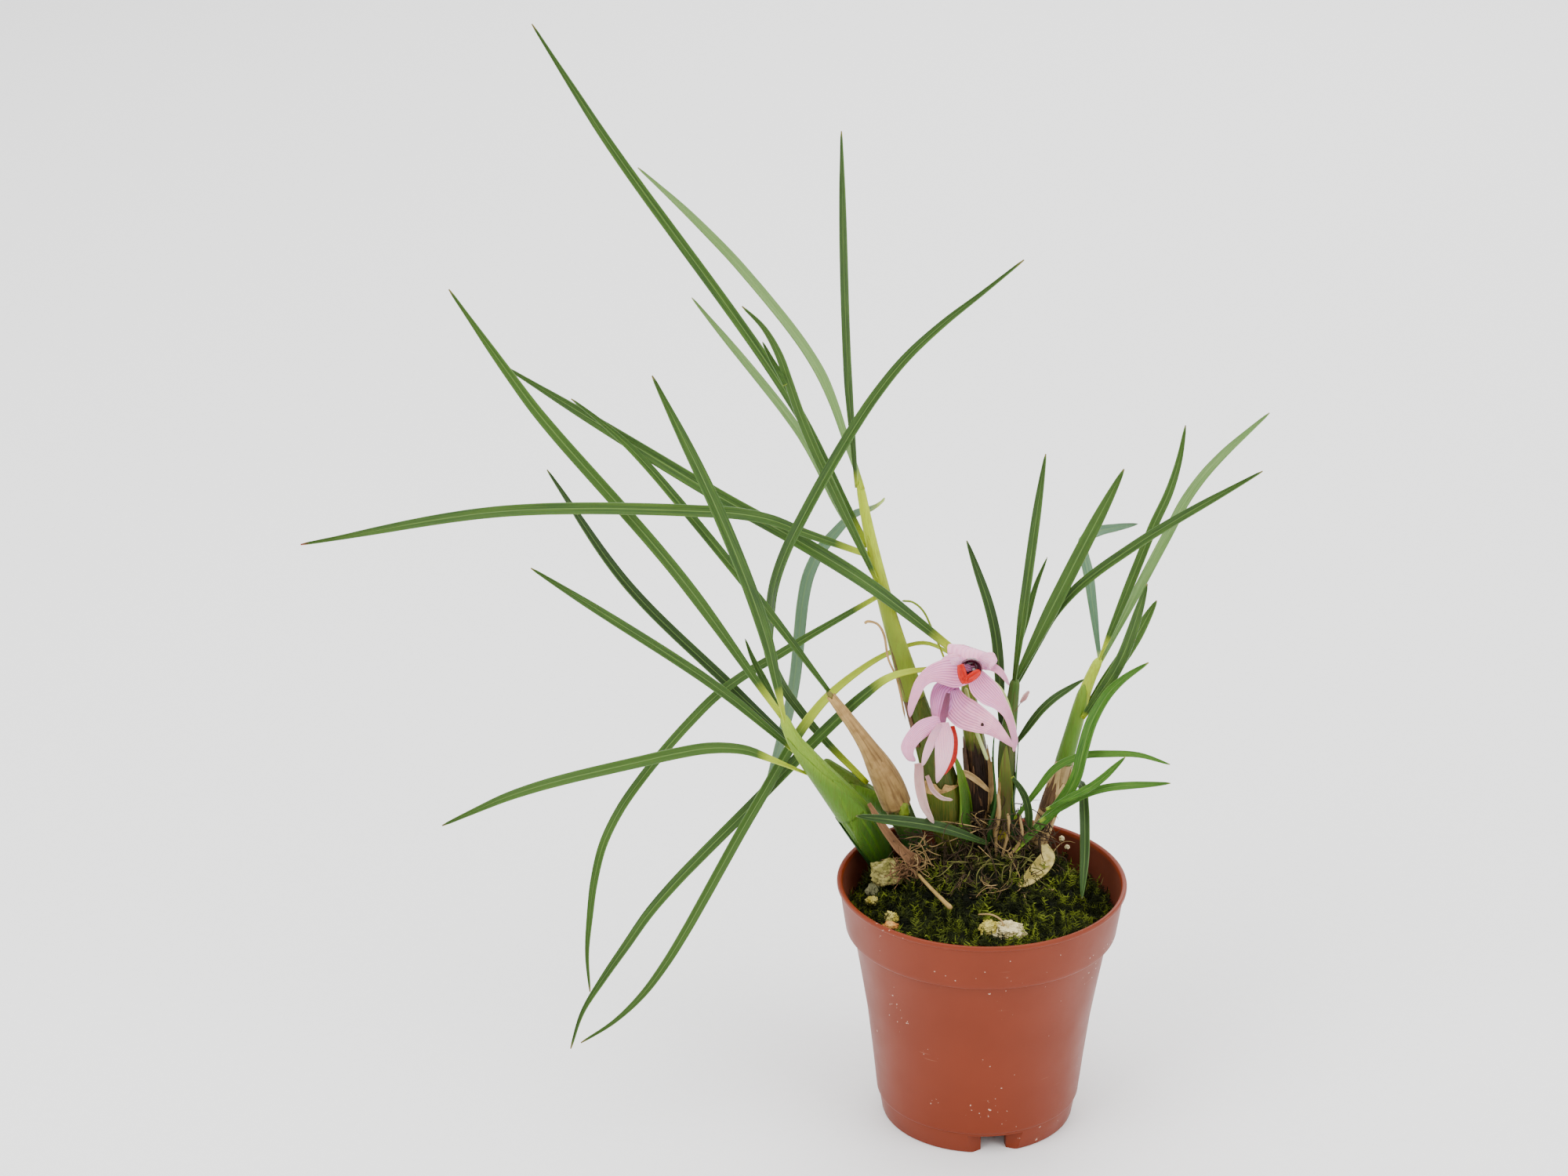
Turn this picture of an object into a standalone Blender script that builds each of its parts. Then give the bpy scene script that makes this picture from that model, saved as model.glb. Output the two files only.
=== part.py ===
"""A small orchid with grass-like leaves, in flower, growing in a 9 cm plastic nursery pot.

Every dimension below is in millimetres. Heights are above the surface the pot stands on, and
plan positions are from the pot's own axis. The whole object hangs from one empty, which moves
the middle of the plant's footprint to the origin. +Z is up and -Y is the plant's front.
"""
import math

import bmesh
import bpy
from mathutils import Matrix, Vector

MM = 0.001
GAP = 0.3

# ---------------------------------------------------------------- driving dimensions
POT_AXIS = (58, -30, 0)          # the pot's axis, from the middle of the plant's footprint

POT_HEIGHT = 80.5
RIM_RADIUS = 45.0
BAND_FOOT_RADIUS = 42.2          # the rim band, where it steps in to the body
BAND_FOOT_HEIGHT = 64.4
BODY_TOP_RADIUS = 39.9
BODY_FOOT_RADIUS = 31.9
FOOT_LINE_HEIGHT = 7.8
FOOT_RADIUS = 30.2
FOOT_BEVEL = 0.8
FOOT_LINE_RADIUS = 31.4
BODY_WAIST_RADIUS = 35.1         # the body flares a little more above this height
BODY_WAIST_HEIGHT = 36.0
FOOT_INNER_RADIUS = 25.0
FLOOR_UNDERSIDE = 7.0
WALL = 1.1
LIP_OVERHANG = 0.6               # the lip stands out from the top of the band
LIP_UNDERSIDE = 1.6              # below the top of the pot
EDGE_ROUNDING = 0.3
STEP_RISE = 0.7                  # the slope under the band
POT_SEGMENTS = 48

NOTCH_COUNT = 3
FIRST_NOTCH_ANGLE = 11.5         # degrees from the front, towards +X
NOTCH_OUTER_WIDTH = 20.5
NOTCH_GAP_WIDTH = 8.0
NOTCH_HEIGHT = 6.6
NOTCH_REACH = (34.0, 30.6, 27.5, 22.0)   # from the axis: outside, end of the wide part, gap, inside
CUT_BELOW = 2.0                  # the cutter starts this far under the foot

MEDIUM_TOP = 67.9
MEDIUM_SHOULDER = (66.2, 67.0)   # it widens between these heights, inside the band
MEDIUM_SIDE_GAP = WALL + GAP + 0.2
MEDIUM_SEGMENTS = 32
MOSS_UNDERSIDE = MEDIUM_TOP + GAP
MOSS_RADIUS = 39.9
MOSS_LEVEL = 73.0
MOSS_SLOPE_X = 0.075             # the moss is higher at the right and at the front
MOSS_SLOPE_Y = -0.05
MOUND_CENTRE = (0, 14)
MOUND_REACH = (26, 18)
MOUND_HEIGHT = 10.0
MOSS_RINGS = 7
MOSS_SEGMENTS = 28

LEAF_THICKNESS = 0.8
LEAF_ROOT_GAP = 1.0              # between a shoot's skin and the foot of a leaf on its side
PETAL_THICKNESS = 0.6
PETAL_STATIONS = 7
PETAL_CHANNEL = 0.06
PETAL_LEAST_WIDTH = 0.8
SHOOT_RINGS = 9
SHOOT_SIDES = 8
SHOOT_CLEARANCE = 1.0            # between the moss and a shoot's foot
STALK_RINGS = 6
STALK_SIDES = 6
LEAF_STATION_SPACING = 12
CURVE_STEPS = 24

# ---------------------------------------------------------------- shoots
# Points up the middle of each shoot with its radius there: (x, y, z, radius). The first z is
# only a place to start from: each shoot's foot is dropped to just above the moss.
SHOOTS = {
    "central_shoot": [(-9, 18, 82, 5.0), (-13, 18, 104, 5.5), (-19, 18, 123, 4.0),
                      (-29, 20, 156, 2.4), (-36, 21, 184, 1.8), (-40, 22, 204, 1.2)],
    "flowering_shoot": [(-1, 26, 82, 3.8), (-2, 26, 106, 3.6), (-5, 24, 128, 2.6),
                        (-6, 22, 147, 1.6)],
    "left_bulb_shoot": [(-31, 20, 77, 4.0), (-38, 13, 92, 6.0), (-52, 5, 115, 3.6),
                        (-59, 1, 127, 2.4), (-62, 0, 135, 1.5)],
    "back_left_shoot": [(-22, 30, 75, 2.4), (-26, 32, 84, 2.8), (-38, 34, 93, 2.8),
                        (-51, 33, 104, 1.4)],
    "papery_old_bulb": [(-20, 24, 80, 3.3), (-26, 23, 91, 4.0), (-31, 20, 105, 4.0),
                        (-38, 14, 121, 2.0), (-49, 8, 140, 0.8)],
    "narrow_shoot": [(6, 20, 82, 2.4), (7, 20, 103, 2.6), (7, 20, 117, 2.6), (9, 20, 140, 1.5)],
    "right_shoot": [(17, 27, 78, 3.0), (23, 26, 101, 3.1), (27, 26, 118, 2.6),
                    (31, 26, 134, 2.2), (35, 26, 145, 1.6)],
}

# ---------------------------------------------------------------- leaves
# Each leaf: (shoot, height where it leaves the shoot, width, points it passes on its way to
# the tip). A leaf that starts at the top of a shoot, or at the crown, has no shoot or height
# here, and its first point is its foot.
LEAVES = {
    "central_leaf_1": ("central_shoot", 185, 3.2, [(-64, 35, 229), (-112, 55, 290), (-127, 58, 312),
        (-141, 60, 334)]),
    "central_leaf_2": (None, 0, 3.2, [(-41, 25, 206), (-54, 50, 229), (-77, 80, 248),
        (-97, 92, 265), (-114, 105, 276)]),
    "central_leaf_3": (None, 0, 2.6, [(-41, 20, 208), (-43, 5, 251), (-44, -25, 327)]),
    "central_leaf_4": ("central_shoot", 176, 2.8, [(-47, 31, 192), (-61, 48, 211), (-96, 90, 238)]),
    "central_leaf_5": ("central_shoot", 175, 2.8, [(-54, 4, 224), (-64, -4, 256), (-73, -11, 270)]),
    "central_leaf_6": ("central_shoot", 182, 3.6, [(-60, 8, 193), (-78, 2, 200), (-143, -10, 204),
        (-204, -20, 196)]),
    "central_leaf_7": ("central_shoot", 166, 3.0, [(-62, 16, 149), (-86, 9, 133), (-113, -15, 104),
        (-120, -26, 73), (-119, -35, 56)]),
    "central_leaf_8": (None, 0, 3.8, [(-36, 28, 192), (-44, 38, 184), (-57, 49, 160),
        (-63, 65, 111), (-74, 85, 61)]),
    "flowering_leaf_1": ("flowering_shoot", 147, 4.2, [(-36, 15, 172), (-61, 15, 188),
        (-86, 14, 203), (-148, 28, 236)]),
    "flowering_leaf_2": ("flowering_shoot", 145, 3.2, [(-24, 28, 147), (-50, 20, 131),
        (-70, 8, 101), (-95, -15, 60), (-109, -23, 43), (-123, -28, 34)]),
    "flowering_leaf_3": ("flowering_shoot", 142, 3.6, [(-26, 11, 145), (-43, 16, 129),
        (-70, 12, 100), (-98, -8, 76), (-111, -20, 61), (-122, -27, 45), (-126, -30, 33)]),
    "left_leaf_1": (None, 0, 4.2, [(-62, -1, 137), (-68, -4, 166), (-81, -10, 206),
        (-100, -5, 246)]),
    "left_leaf_2": (None, 0, 3.6, [(-64, 2, 136), (-94, 1, 181), (-132, 8, 224), (-147, 14, 242),
        (-163, 20, 263)]),
    "left_leaf_3": ("left_bulb_shoot", 120, 3.2, [(-80, 17, 137), (-112, 28, 165), (-138, 45, 196)]),
    "left_leaf_4": ("left_bulb_shoot", 122, 3.0, [(-86, 3, 145), (-137, -8, 185)]),
    "left_leaf_5": ("left_bulb_shoot", 117, 3.4, [(-79, -6, 126), (-111, -15, 123),
        (-141, -18, 115), (-165, -20, 104)]),
    "back_left_leaf": (None, 0, 3.6, [(-39, 34, 98), (-55, 36, 115), (-66, 26, 139), (-66, 14, 162),
        (-59, 2, 192), (-29, -10, 250), (8, -15, 287)]),
    "papery_bulb_leaf": (None, 0, 3.0, [(-50, 8, 142), (-68, 6, 168), (-98, 12, 204),
        (-112, 16, 218), (-127, 20, 229)]),
    "narrow_leaf_1": (None, 0, 3.0, [(9, 19, 143), (12, 12, 176), (16, 0, 222)]),
    "narrow_leaf_2": (None, 0, 4.2, [(11, 22, 143), (26, 22, 178), (40, 20, 210)]),
    "narrow_leaf_3": (None, 0, 3.0, [(12, 25, 141), (24, 24, 165), (47, 20, 187), (81, 13, 213)]),
    "narrow_leaf_4": ("narrow_shoot", 122, 3.2, [(2, 28, 153), (-7, 36, 179)]),
    "narrow_leaf_5": ("narrow_shoot", 119, 2.4, [(19, 14, 134), (30, 16, 142)]),
    "right_leaf_1": (None, 0, 2.8, [(36, 26, 148), (50, 30, 188), (56, 36, 201), (59, 40, 217)]),
    "right_leaf_2": (None, 0, 3.2, [(37, 29, 146), (56, 55, 175), (63, 65, 185), (73, 75, 194),
        (88, 90, 203)]),
    "right_leaf_3": ("right_shoot", 128, 3.6, [(41, 18, 148), (48, 12, 176)]),
    "right_leaf_4": ("right_shoot", 132, 3.8, [(44, 28, 147), (52, 32, 162)]),
    "right_leaf_5": (None, 0, 3.2, [(34, 30, 149), (31, 42, 165), (29, 51, 173), (34, 60, 173),
        (47, 75, 170)]),
    "low_leaf_1": (None, 0, 3.8, [(12, 13, 86), (20, 16, 94), (28, 14, 107), (32, 13, 126),
        (37, 12, 138), (42, 8, 146), (49, 5, 153)]),
    "low_leaf_2": (None, 0, 2.2, [(11, 18, 94), (23, 19, 111), (31, 18, 115), (47, 11, 119),
        (57, 7, 118)]),
    "low_leaf_3": (None, 0, 2.4, [(20, 11, 97), (35, 8, 108), (57, 0, 115)]),
    "low_leaf_4": (None, 0, 2.2, [(22, 9, 102), (34, 6, 111), (43, 3, 122)]),
    "low_leaf_5": (None, 0, 3.0, [(28, 31, 99), (31, 24, 101), (32, 10, 88), (31, -7, 78)]),
    "low_leaf_6": (None, 0, 3.4, [(-1, 9, 89), (-15, 4, 96), (-39, -4, 103)]),
}
LEAF_FACING = (0.0, -0.8, 0.6)    # the way most blades turn their upper face
LEAF_TURN = 18                    # degrees that alternate leaves turn to either side of it

# ---------------------------------------------------------------- flowers
# Each floret piece: (way its face looks, points from its foot to its tip, widths there).
PETALS = {
    "upper_flower_dorsal_sepal": ((0, -0.6, 0.8), [(-5, 11, 150), (-4, 11, 152), (-2, 12, 154)],
                                  [5, 12, 8]),
    "upper_flower_left_sepal": ((0, -1, 0.1), [(-9, 8, 146), (-14, 5, 144), (-20, 4, 141),
                                               (-23, 3, 135)], [9, 8, 4, 1]),
    "upper_flower_right_sepal": ((0, -1, 0.2), [(-2, 8, 142), (2, 7, 138), (6, 6, 132),
                                                (9, 5, 122)], [5, 7, 4, 1]),
    "upper_flower_petal": ((0, -1, 0.4), [(1, 9, 148), (4, 9, 146), (8, 8, 142)], [5, 4, 1]),
    "lower_flower_left_petal": ((0, -1, 0.4), [(-13, 3, 129), (-18, 1, 127), (-23, 0, 122)],
                                [3, 7, 4]),
    "lower_flower_middle_sepal": ((0, -1, 0.3), [(-12, 1, 128), (-13, -1, 121), (-14, -2, 114)],
                                  [4, 6, 1]),
    "lower_flower_right_sepal": ((0, -1, 0.3), [(-9, 3, 131), (-2, 1, 131), (9, 0, 126)],
                                 [5, 9, 1]),
    "withered_bloom": ((0, -1, 0), [(-19, 4, 117), (-18, 3, 108), (-15, 3, 99)], [3, 3, 2]),
}
# Round flower pieces: (centre, half sizes, turn about Y in degrees).
FLORET_SOLIDS = {
    "upper_flower_lip_and_column": ((-5, 5, 148), (3.2, 2.0, 3.4), 15),
    "lower_flower_spur": ((-10, 10, 136.5), (5.0, 2.8, 5.0), 25),
    "lower_flower_lip": ((-8, 4.5, 121), (1.4, 1.4, 6.0), 12),
}
STALKS = {
    "upper_flower_stalk": [(-2, 13, 145, 0.6), (5, 14, 138, 0.6), (9, 15, 126, 0.6)],
    "lower_flower_stalk": [(-6, 14, 138, 0.6), (-3, 17, 124, 0.6), (1, 19, 112, 0.6)],
    "dry_straw_stalk": [(-20, 3, 80, 0.5), (-15, -6, 79, 0.6), (-9, -16, 78, 0.8)],
}
STONES = {
    "lichened_bark_chunk": ((-30, 5, 79), (5.6, 3.6, 4.2), 10),
    "white_stone": ((8, -27, 78.3), (5.2, 3.4, 2.6), -12),
}

# ---------------------------------------------------------------- colours
COLOURS = {
    "pot_plastic": ((0.36, 0.105, 0.055), 0.45),
    "growing_medium": ((0.045, 0.030, 0.018), 0.95),
    "moss": ((0.055, 0.075, 0.018), 0.95),
    "leaf": ((0.075, 0.17, 0.030), 0.45),
    "shoot": ((0.16, 0.22, 0.030), 0.5),
    "dry_sheath": ((0.42, 0.28, 0.15), 0.8),
    "petal": ((0.74, 0.50, 0.66), 0.5),
    "lip": ((0.80, 0.10, 0.03), 0.4),
    "stone": ((0.55, 0.50, 0.38), 0.9),
}
SHOOT_COLOURS = {"papery_old_bulb": "dry_sheath", "right_shoot": "dry_sheath"}


# ---------------------------------------------------------------- helpers
def clear_scene():
    for item in list(bpy.data.objects):
        bpy.data.objects.remove(item, do_unlink=True)


def make_material(name):
    colour, roughness = COLOURS[name]
    material = bpy.data.materials.new(name)
    material.use_nodes = True
    shader = material.node_tree.nodes["Principled BSDF"]
    shader.inputs["Base Color"].default_value = (*colour, 1.0)
    shader.inputs["Roughness"].default_value = roughness
    shader.inputs["Metallic"].default_value = 0.0
    return material


def add_object(name, form, material, smooth=True):
    """Turn a bmesh in millimetres into a named object under the plant's empty."""
    bmesh.ops.remove_doubles(form, verts=form.verts, dist=1e-4)
    bmesh.ops.recalc_face_normals(form, faces=form.faces)
    bmesh.ops.scale(form, vec=(MM, MM, MM), verts=form.verts)
    mesh = bpy.data.meshes.new(name)
    form.to_mesh(mesh)
    form.free()
    if smooth:
        mesh.shade_smooth()
        mesh.set_sharp_from_angle(angle=math.radians(35))
    piece = bpy.data.objects.new(name, mesh)
    bpy.context.collection.objects.link(piece)
    piece.data.materials.append(material)
    piece.parent = plant
    return piece


def smooth_path(points, count):
    """Evenly spaced points along a smooth curve through the given ones, of any dimension."""
    known = [Vector(point) for point in points]
    known = [2 * known[0] - known[1]] + known + [2 * known[-1] - known[-2]]
    dense = []
    for i in range(1, len(known) - 2):
        before, start, end, after = known[i - 1:i + 3]
        for step in range(CURVE_STEPS):
            t = step / CURVE_STEPS
            dense.append(0.5 * (2 * start + (end - before) * t
                                + (2 * before - 5 * start + 4 * end - after) * t ** 2
                                + (3 * start - 3 * end + after - before) * t ** 3))
    dense.append(known[-2])
    lengths = [0.0]
    for i in range(1, len(dense)):
        lengths.append(lengths[-1] + (dense[i] - dense[i - 1]).length)
    path = []
    i = 1
    for station in range(count):
        wanted = lengths[-1] * station / (count - 1)
        while i < len(dense) - 1 and lengths[i] < wanted:
            i += 1
        share = (wanted - lengths[i - 1]) / (lengths[i] - lengths[i - 1])
        path.append(dense[i - 1].lerp(dense[i], share))
    return path


def tangents(path):
    last = len(path) - 1
    return [(path[min(i + 1, last)] - path[max(i - 1, 0)]).normalized() for i in range(len(path))]


def loft(rings):
    """Close a skin over rings of points, with a flat cap at each end."""
    form = bmesh.new()
    loops = [[form.verts.new(point) for point in ring] for ring in rings]
    sides = len(loops[0])
    for lower, upper in zip(loops, loops[1:]):
        for i in range(sides):
            j = (i + 1) % sides
            form.faces.new((lower[i], lower[j], upper[j], upper[i]))
    form.faces.new(list(reversed(loops[0])))
    form.faces.new(loops[-1])
    return form


def blade(path, widths, thickness, facing, channel=0.12):
    """A thin leaf or petal: a diamond section whose edges lift towards the way it faces."""
    facing = Vector(facing).normalized()
    rings = []
    for point, along, width in zip(path, tangents(path), widths):
        across = along.cross(facing).normalized()
        up = across.cross(along)
        lift = up * width * channel
        depth = up * min(thickness, width * 0.8) / 2
        rings.append([point - across * width / 2 + lift, point - depth,
                      point + across * width / 2 + lift, point + depth])
    return loft(rings)


def tube(points, count, sides, flat_foot=False):
    """A round-sectioned stem along points that carry their radius as a fourth number."""
    path = smooth_path(points, count)
    centres = [Vector(point[:3]) for point in path]
    rings = []
    for i, (centre, along) in enumerate(zip(centres, tangents(centres))):
        if flat_foot and i == 0:
            along = Vector((0, 0, 1))
        across = along.cross(Vector((0, 1, 0))).normalized()
        back = across.cross(along)
        radius = path[i][3]
        rings.append([centre + (across * math.cos(a) + back * math.sin(a)) * radius
                      for a in (math.tau * side / sides for side in range(sides))])
    return loft(rings)


def turned(profile, segments):
    """Turn a profile of (radius, height) points once round the Z axis."""
    form = bmesh.new()
    verts = [form.verts.new((radius, 0, height)) for radius, height in profile]
    edges = [form.edges.new(pair) for pair in zip(verts, verts[1:])]
    bmesh.ops.spin(form, geom=verts + edges, cent=(0, 0, 0), axis=(0, 0, 1), angle=math.tau,
                   steps=segments, use_merge=True)
    bmesh.ops.remove_doubles(form, verts=form.verts, dist=1e-4)
    return form


def moss_height(x, y):
    mound = math.exp(-((x - MOUND_CENTRE[0]) / MOUND_REACH[0]) ** 2
                     - ((y - MOUND_CENTRE[1]) / MOUND_REACH[1]) ** 2)
    return MOSS_LEVEL + MOSS_SLOPE_X * x + MOSS_SLOPE_Y * y + MOUND_HEIGHT * mound


# ---------------------------------------------------------------- pot
def band_radius(height):
    """The rim band's outer radius at a height."""
    share = (height - BAND_FOOT_HEIGHT) / (POT_HEIGHT - BAND_FOOT_HEIGHT)
    return BAND_FOOT_RADIUS + (RIM_RADIUS - LIP_OVERHANG - BAND_FOOT_RADIUS) * share


def make_notch_cutter(index):
    """One drainage notch through the foot ring: a funnel in plan, open underneath."""
    form = bmesh.new()
    outer = NOTCH_OUTER_WIDTH / 2
    gap = NOTCH_GAP_WIDTH / 2
    outside, wide_end, gap_start, inside = (-reach for reach in NOTCH_REACH)
    plan = [(-outer, outside), (outer, outside), (outer, wide_end), (gap, gap_start),
            (gap, inside), (-gap, inside), (-gap, gap_start), (-outer, wide_end)]
    floor = [form.verts.new((x, y, -CUT_BELOW)) for x, y in plan]
    base = form.faces.new(floor)
    raised = bmesh.ops.extrude_face_region(form, geom=[base])["geom"]
    top = [item for item in raised if isinstance(item, bmesh.types.BMVert)]
    bmesh.ops.translate(form, vec=(0, 0, NOTCH_HEIGHT + CUT_BELOW), verts=top)
    angle = math.radians(FIRST_NOTCH_ANGLE) + math.tau * index / NOTCH_COUNT
    bmesh.ops.rotate(form, cent=(0, 0, 0), matrix=Matrix.Rotation(angle, 3, "Z"),
                     verts=form.verts)
    cutter = add_object(f"notch_cutter_{index + 1}", form, materials["pot_plastic"], smooth=False)
    cutter.hide_render = True
    cutter.display_type = "WIRE"
    return cutter


def make_pot():
    step_height = BAND_FOOT_HEIGHT + STEP_RISE
    floor_top = FLOOR_UNDERSIDE + WALL
    lip_height = POT_HEIGHT - LIP_UNDERSIDE
    foot_chamfer = FOOT_RADIUS - FOOT_BEVEL
    inner_foot = BODY_FOOT_RADIUS - WALL
    profile = [
        (0, FLOOR_UNDERSIDE), (FOOT_INNER_RADIUS, FLOOR_UNDERSIDE), (FOOT_INNER_RADIUS, 0),
        (foot_chamfer, 0), (FOOT_RADIUS, FOOT_BEVEL), (FOOT_LINE_RADIUS, FOOT_LINE_HEIGHT),
        (BODY_FOOT_RADIUS, FOOT_LINE_HEIGHT + 2 * EDGE_ROUNDING), (BODY_WAIST_RADIUS, BODY_WAIST_HEIGHT),
        (BODY_TOP_RADIUS, BAND_FOOT_HEIGHT), (BAND_FOOT_RADIUS, step_height),
        (band_radius(lip_height), lip_height), (RIM_RADIUS, lip_height + EDGE_ROUNDING),
        (RIM_RADIUS, POT_HEIGHT - EDGE_ROUNDING), (RIM_RADIUS - EDGE_ROUNDING, POT_HEIGHT),
        (RIM_RADIUS - 1.0, POT_HEIGHT), (band_radius(lip_height) - WALL, POT_HEIGHT - 4 * EDGE_ROUNDING),
        (BAND_FOOT_RADIUS - WALL, step_height + WALL), (BODY_TOP_RADIUS - WALL, step_height + 0.4),
        (BODY_WAIST_RADIUS - WALL, BODY_WAIST_HEIGHT), (inner_foot, floor_top + 1.0),
        (inner_foot - 1.0, floor_top), (0, floor_top),
    ]
    pot = add_object("pot", turned(profile, POT_SEGMENTS), materials["pot_plastic"])
    for index in range(NOTCH_COUNT):
        cut = pot.modifiers.new(f"drainage_notch_{index + 1}", "BOOLEAN")
        cut.operation = "DIFFERENCE"
        cut.solver = "EXACT"
        cut.object = make_notch_cutter(index)


# ---------------------------------------------------------------- what fills the pot
def make_medium():
    floor_top = FLOOR_UNDERSIDE + WALL
    gap = MEDIUM_SIDE_GAP
    shoulder, step = MEDIUM_SHOULDER
    profile = [
        (0, floor_top + GAP), (BODY_FOOT_RADIUS - gap - 1.0, floor_top + GAP),
        (BODY_FOOT_RADIUS - gap, floor_top + GAP + 1.0), (BODY_WAIST_RADIUS - gap, BODY_WAIST_HEIGHT),
        (BODY_TOP_RADIUS - gap, shoulder), (BAND_FOOT_RADIUS - gap, step),
        (BAND_FOOT_RADIUS - gap, MEDIUM_TOP), (0, MEDIUM_TOP),
    ]
    add_object("growing_medium", turned(profile, MEDIUM_SEGMENTS), materials["growing_medium"])


def make_moss():
    form = bmesh.new()
    crown = form.verts.new((0, 0, moss_height(0, 0)))
    loops = []
    for ring in range(1, MOSS_RINGS + 1):
        radius = MOSS_RADIUS * ring / MOSS_RINGS
        loop = []
        for segment in range(MOSS_SEGMENTS):
            angle = math.tau * segment / MOSS_SEGMENTS
            x, y = radius * math.cos(angle), radius * math.sin(angle)
            loop.append(form.verts.new((x, y, moss_height(x, y))))
        loops.append(loop)
    loops.append([form.verts.new((vert.co.x, vert.co.y, MOSS_UNDERSIDE)) for vert in loops[-1]])
    for segment in range(MOSS_SEGMENTS):
        following = (segment + 1) % MOSS_SEGMENTS
        form.faces.new((crown, loops[0][segment], loops[0][following]))
        for inner, outer in zip(loops, loops[1:]):
            form.faces.new((inner[segment], outer[segment], outer[following], inner[following]))
    form.faces.new(list(reversed(loops[-1])))
    add_object("moss_mat", form, materials["moss"])


def make_stones():
    for name, (centre, half_sizes, turn) in STONES.items():
        add_object(name, lump(centre, half_sizes, turn, uneven=0.10), materials["stone"])


def lump(centre, half_sizes, turn, uneven=0.0):
    """A low-polygon ball, stretched, turned about Y and made a little uneven."""
    form = bmesh.new()
    bmesh.ops.create_icosphere(form, subdivisions=2, radius=1.0)
    for vert in form.verts:
        ripple = math.sin(4 * vert.co.x + 1) * math.cos(5 * vert.co.y) * math.sin(3 * vert.co.z + 2)
        vert.co *= 1 + uneven * ripple
    bmesh.ops.scale(form, vec=half_sizes, verts=form.verts)
    bmesh.ops.rotate(form, cent=(0, 0, 0), matrix=Matrix.Rotation(math.radians(turn), 3, "Y"),
                     verts=form.verts)
    bmesh.ops.translate(form, vec=centre, verts=form.verts)
    return form


# ---------------------------------------------------------------- plant
def shoot_foot_height(x, y, _, radius):
    """The lowest a shoot's foot can start and still clear the moss all round."""
    around = [math.tau * step / SHOOT_SIDES for step in range(SHOOT_SIDES)]
    highest = max(moss_height(x + radius * math.cos(a), y + radius * math.sin(a)) for a in around)
    return highest + SHOOT_CLEARANCE


def make_shoots():
    for name, points in SHOOTS.items():
        foot = (*points[0][:2], shoot_foot_height(*points[0]), points[0][3])
        material = materials[SHOOT_COLOURS.get(name, "shoot")]
        add_object(name, tube([foot] + points[1:], SHOOT_RINGS, SHOOT_SIDES, flat_foot=True), material)


def point_on_shoot(name, height):
    """The middle of a shoot at a height, the shoot's direction there and its radius."""
    path = smooth_path(SHOOTS[name], 60)
    centres = [Vector(point[:3]) for point in path]
    index = min(range(len(path)), key=lambda i: abs(centres[i].z - height))
    return centres[index], tangents(centres)[index], path[index][3]


def leaf_foot(shoot, height, towards):
    """Where a leaf starts: just off the shoot's skin, on the side that the leaf heads for."""
    centre, along, radius = point_on_shoot(shoot, height)
    heading = Vector(towards) - centre
    outward = (heading - along * heading.dot(along)).normalized()
    return tuple(centre + outward * (radius + LEAF_ROOT_GAP))


def leaf_width(share, full_width):
    """A grass-like outline: a narrow foot, parallel edges, and a long taper to the tip."""
    foot = min(1.0, 0.5 + 2.0 * share)
    taper = max(0.0, 1 - share ** 3.2)
    return full_width * foot * max(0.08, taper)


def make_leaves():
    for index, (name, (shoot, height, width, points)) in enumerate(LEAVES.items()):
        route = list(points)
        if shoot:
            route = [leaf_foot(shoot, height, points[0])] + route
        length = sum((Vector(b) - Vector(a)).length for a, b in zip(route, route[1:]))
        stations = max(7, min(16, round(length / LEAF_STATION_SPACING) + 2))
        path = smooth_path(route, stations)
        widths = [leaf_width(i / (stations - 1), width) for i in range(stations)]
        turn = Matrix.Rotation(math.radians(LEAF_TURN if index % 2 else -LEAF_TURN), 3, "Z")
        facing = turn @ Vector(LEAF_FACING)
        add_object(name, blade(path, widths, LEAF_THICKNESS, facing), materials["leaf"])


def make_flowers():
    for name, (facing, points, widths) in PETALS.items():
        route = [(*point, width) for point, width in zip(points, widths)]
        path = smooth_path(route, PETAL_STATIONS)
        centres = [Vector(point[:3]) for point in path]
        span = [max(PETAL_LEAST_WIDTH, point[3]) for point in path]
        form = blade(centres, span, PETAL_THICKNESS, facing, PETAL_CHANNEL)
        add_object(name, form, materials["petal"])
    for name, (centre, half_sizes, turn) in FLORET_SOLIDS.items():
        colour = "lip" if "lip" in name else "petal"
        add_object(name, lump(centre, half_sizes, turn), materials[colour])


def make_stalks():
    for name, points in STALKS.items():
        colour = "dry_sheath" if "straw" in name else "shoot"
        add_object(name, tube(points, STALK_RINGS, STALK_SIDES), materials[colour])


clear_scene()
plant = bpy.data.objects.new("plant_frame", None)
bpy.context.collection.objects.link(plant)
plant.location = Vector(POT_AXIS) * MM
materials = {name: make_material(name) for name in COLOURS}
make_pot()
make_medium()
make_moss()
make_stones()
make_shoots()
make_leaves()
make_flowers()
make_stalks()
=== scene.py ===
# %% [markdown]
# # A small orchid in a nursery pot
#
# The plant is a clump of grass-like leaves on short green shoots, with two pink flowers, in a
# 9 cm pot of pressed plastic with moss on top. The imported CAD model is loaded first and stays
# the frame for everything: each piece below reads its place from a CAD node, refines that
# shape, and then stands for the node. Working this way keeps every size and position true.

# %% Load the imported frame
import itertools
import math
import random

import bmesh
import bpy
import numpy as np
from mathutils import Matrix, Vector, noise
from mathutils.bvhtree import BVHTree


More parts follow.
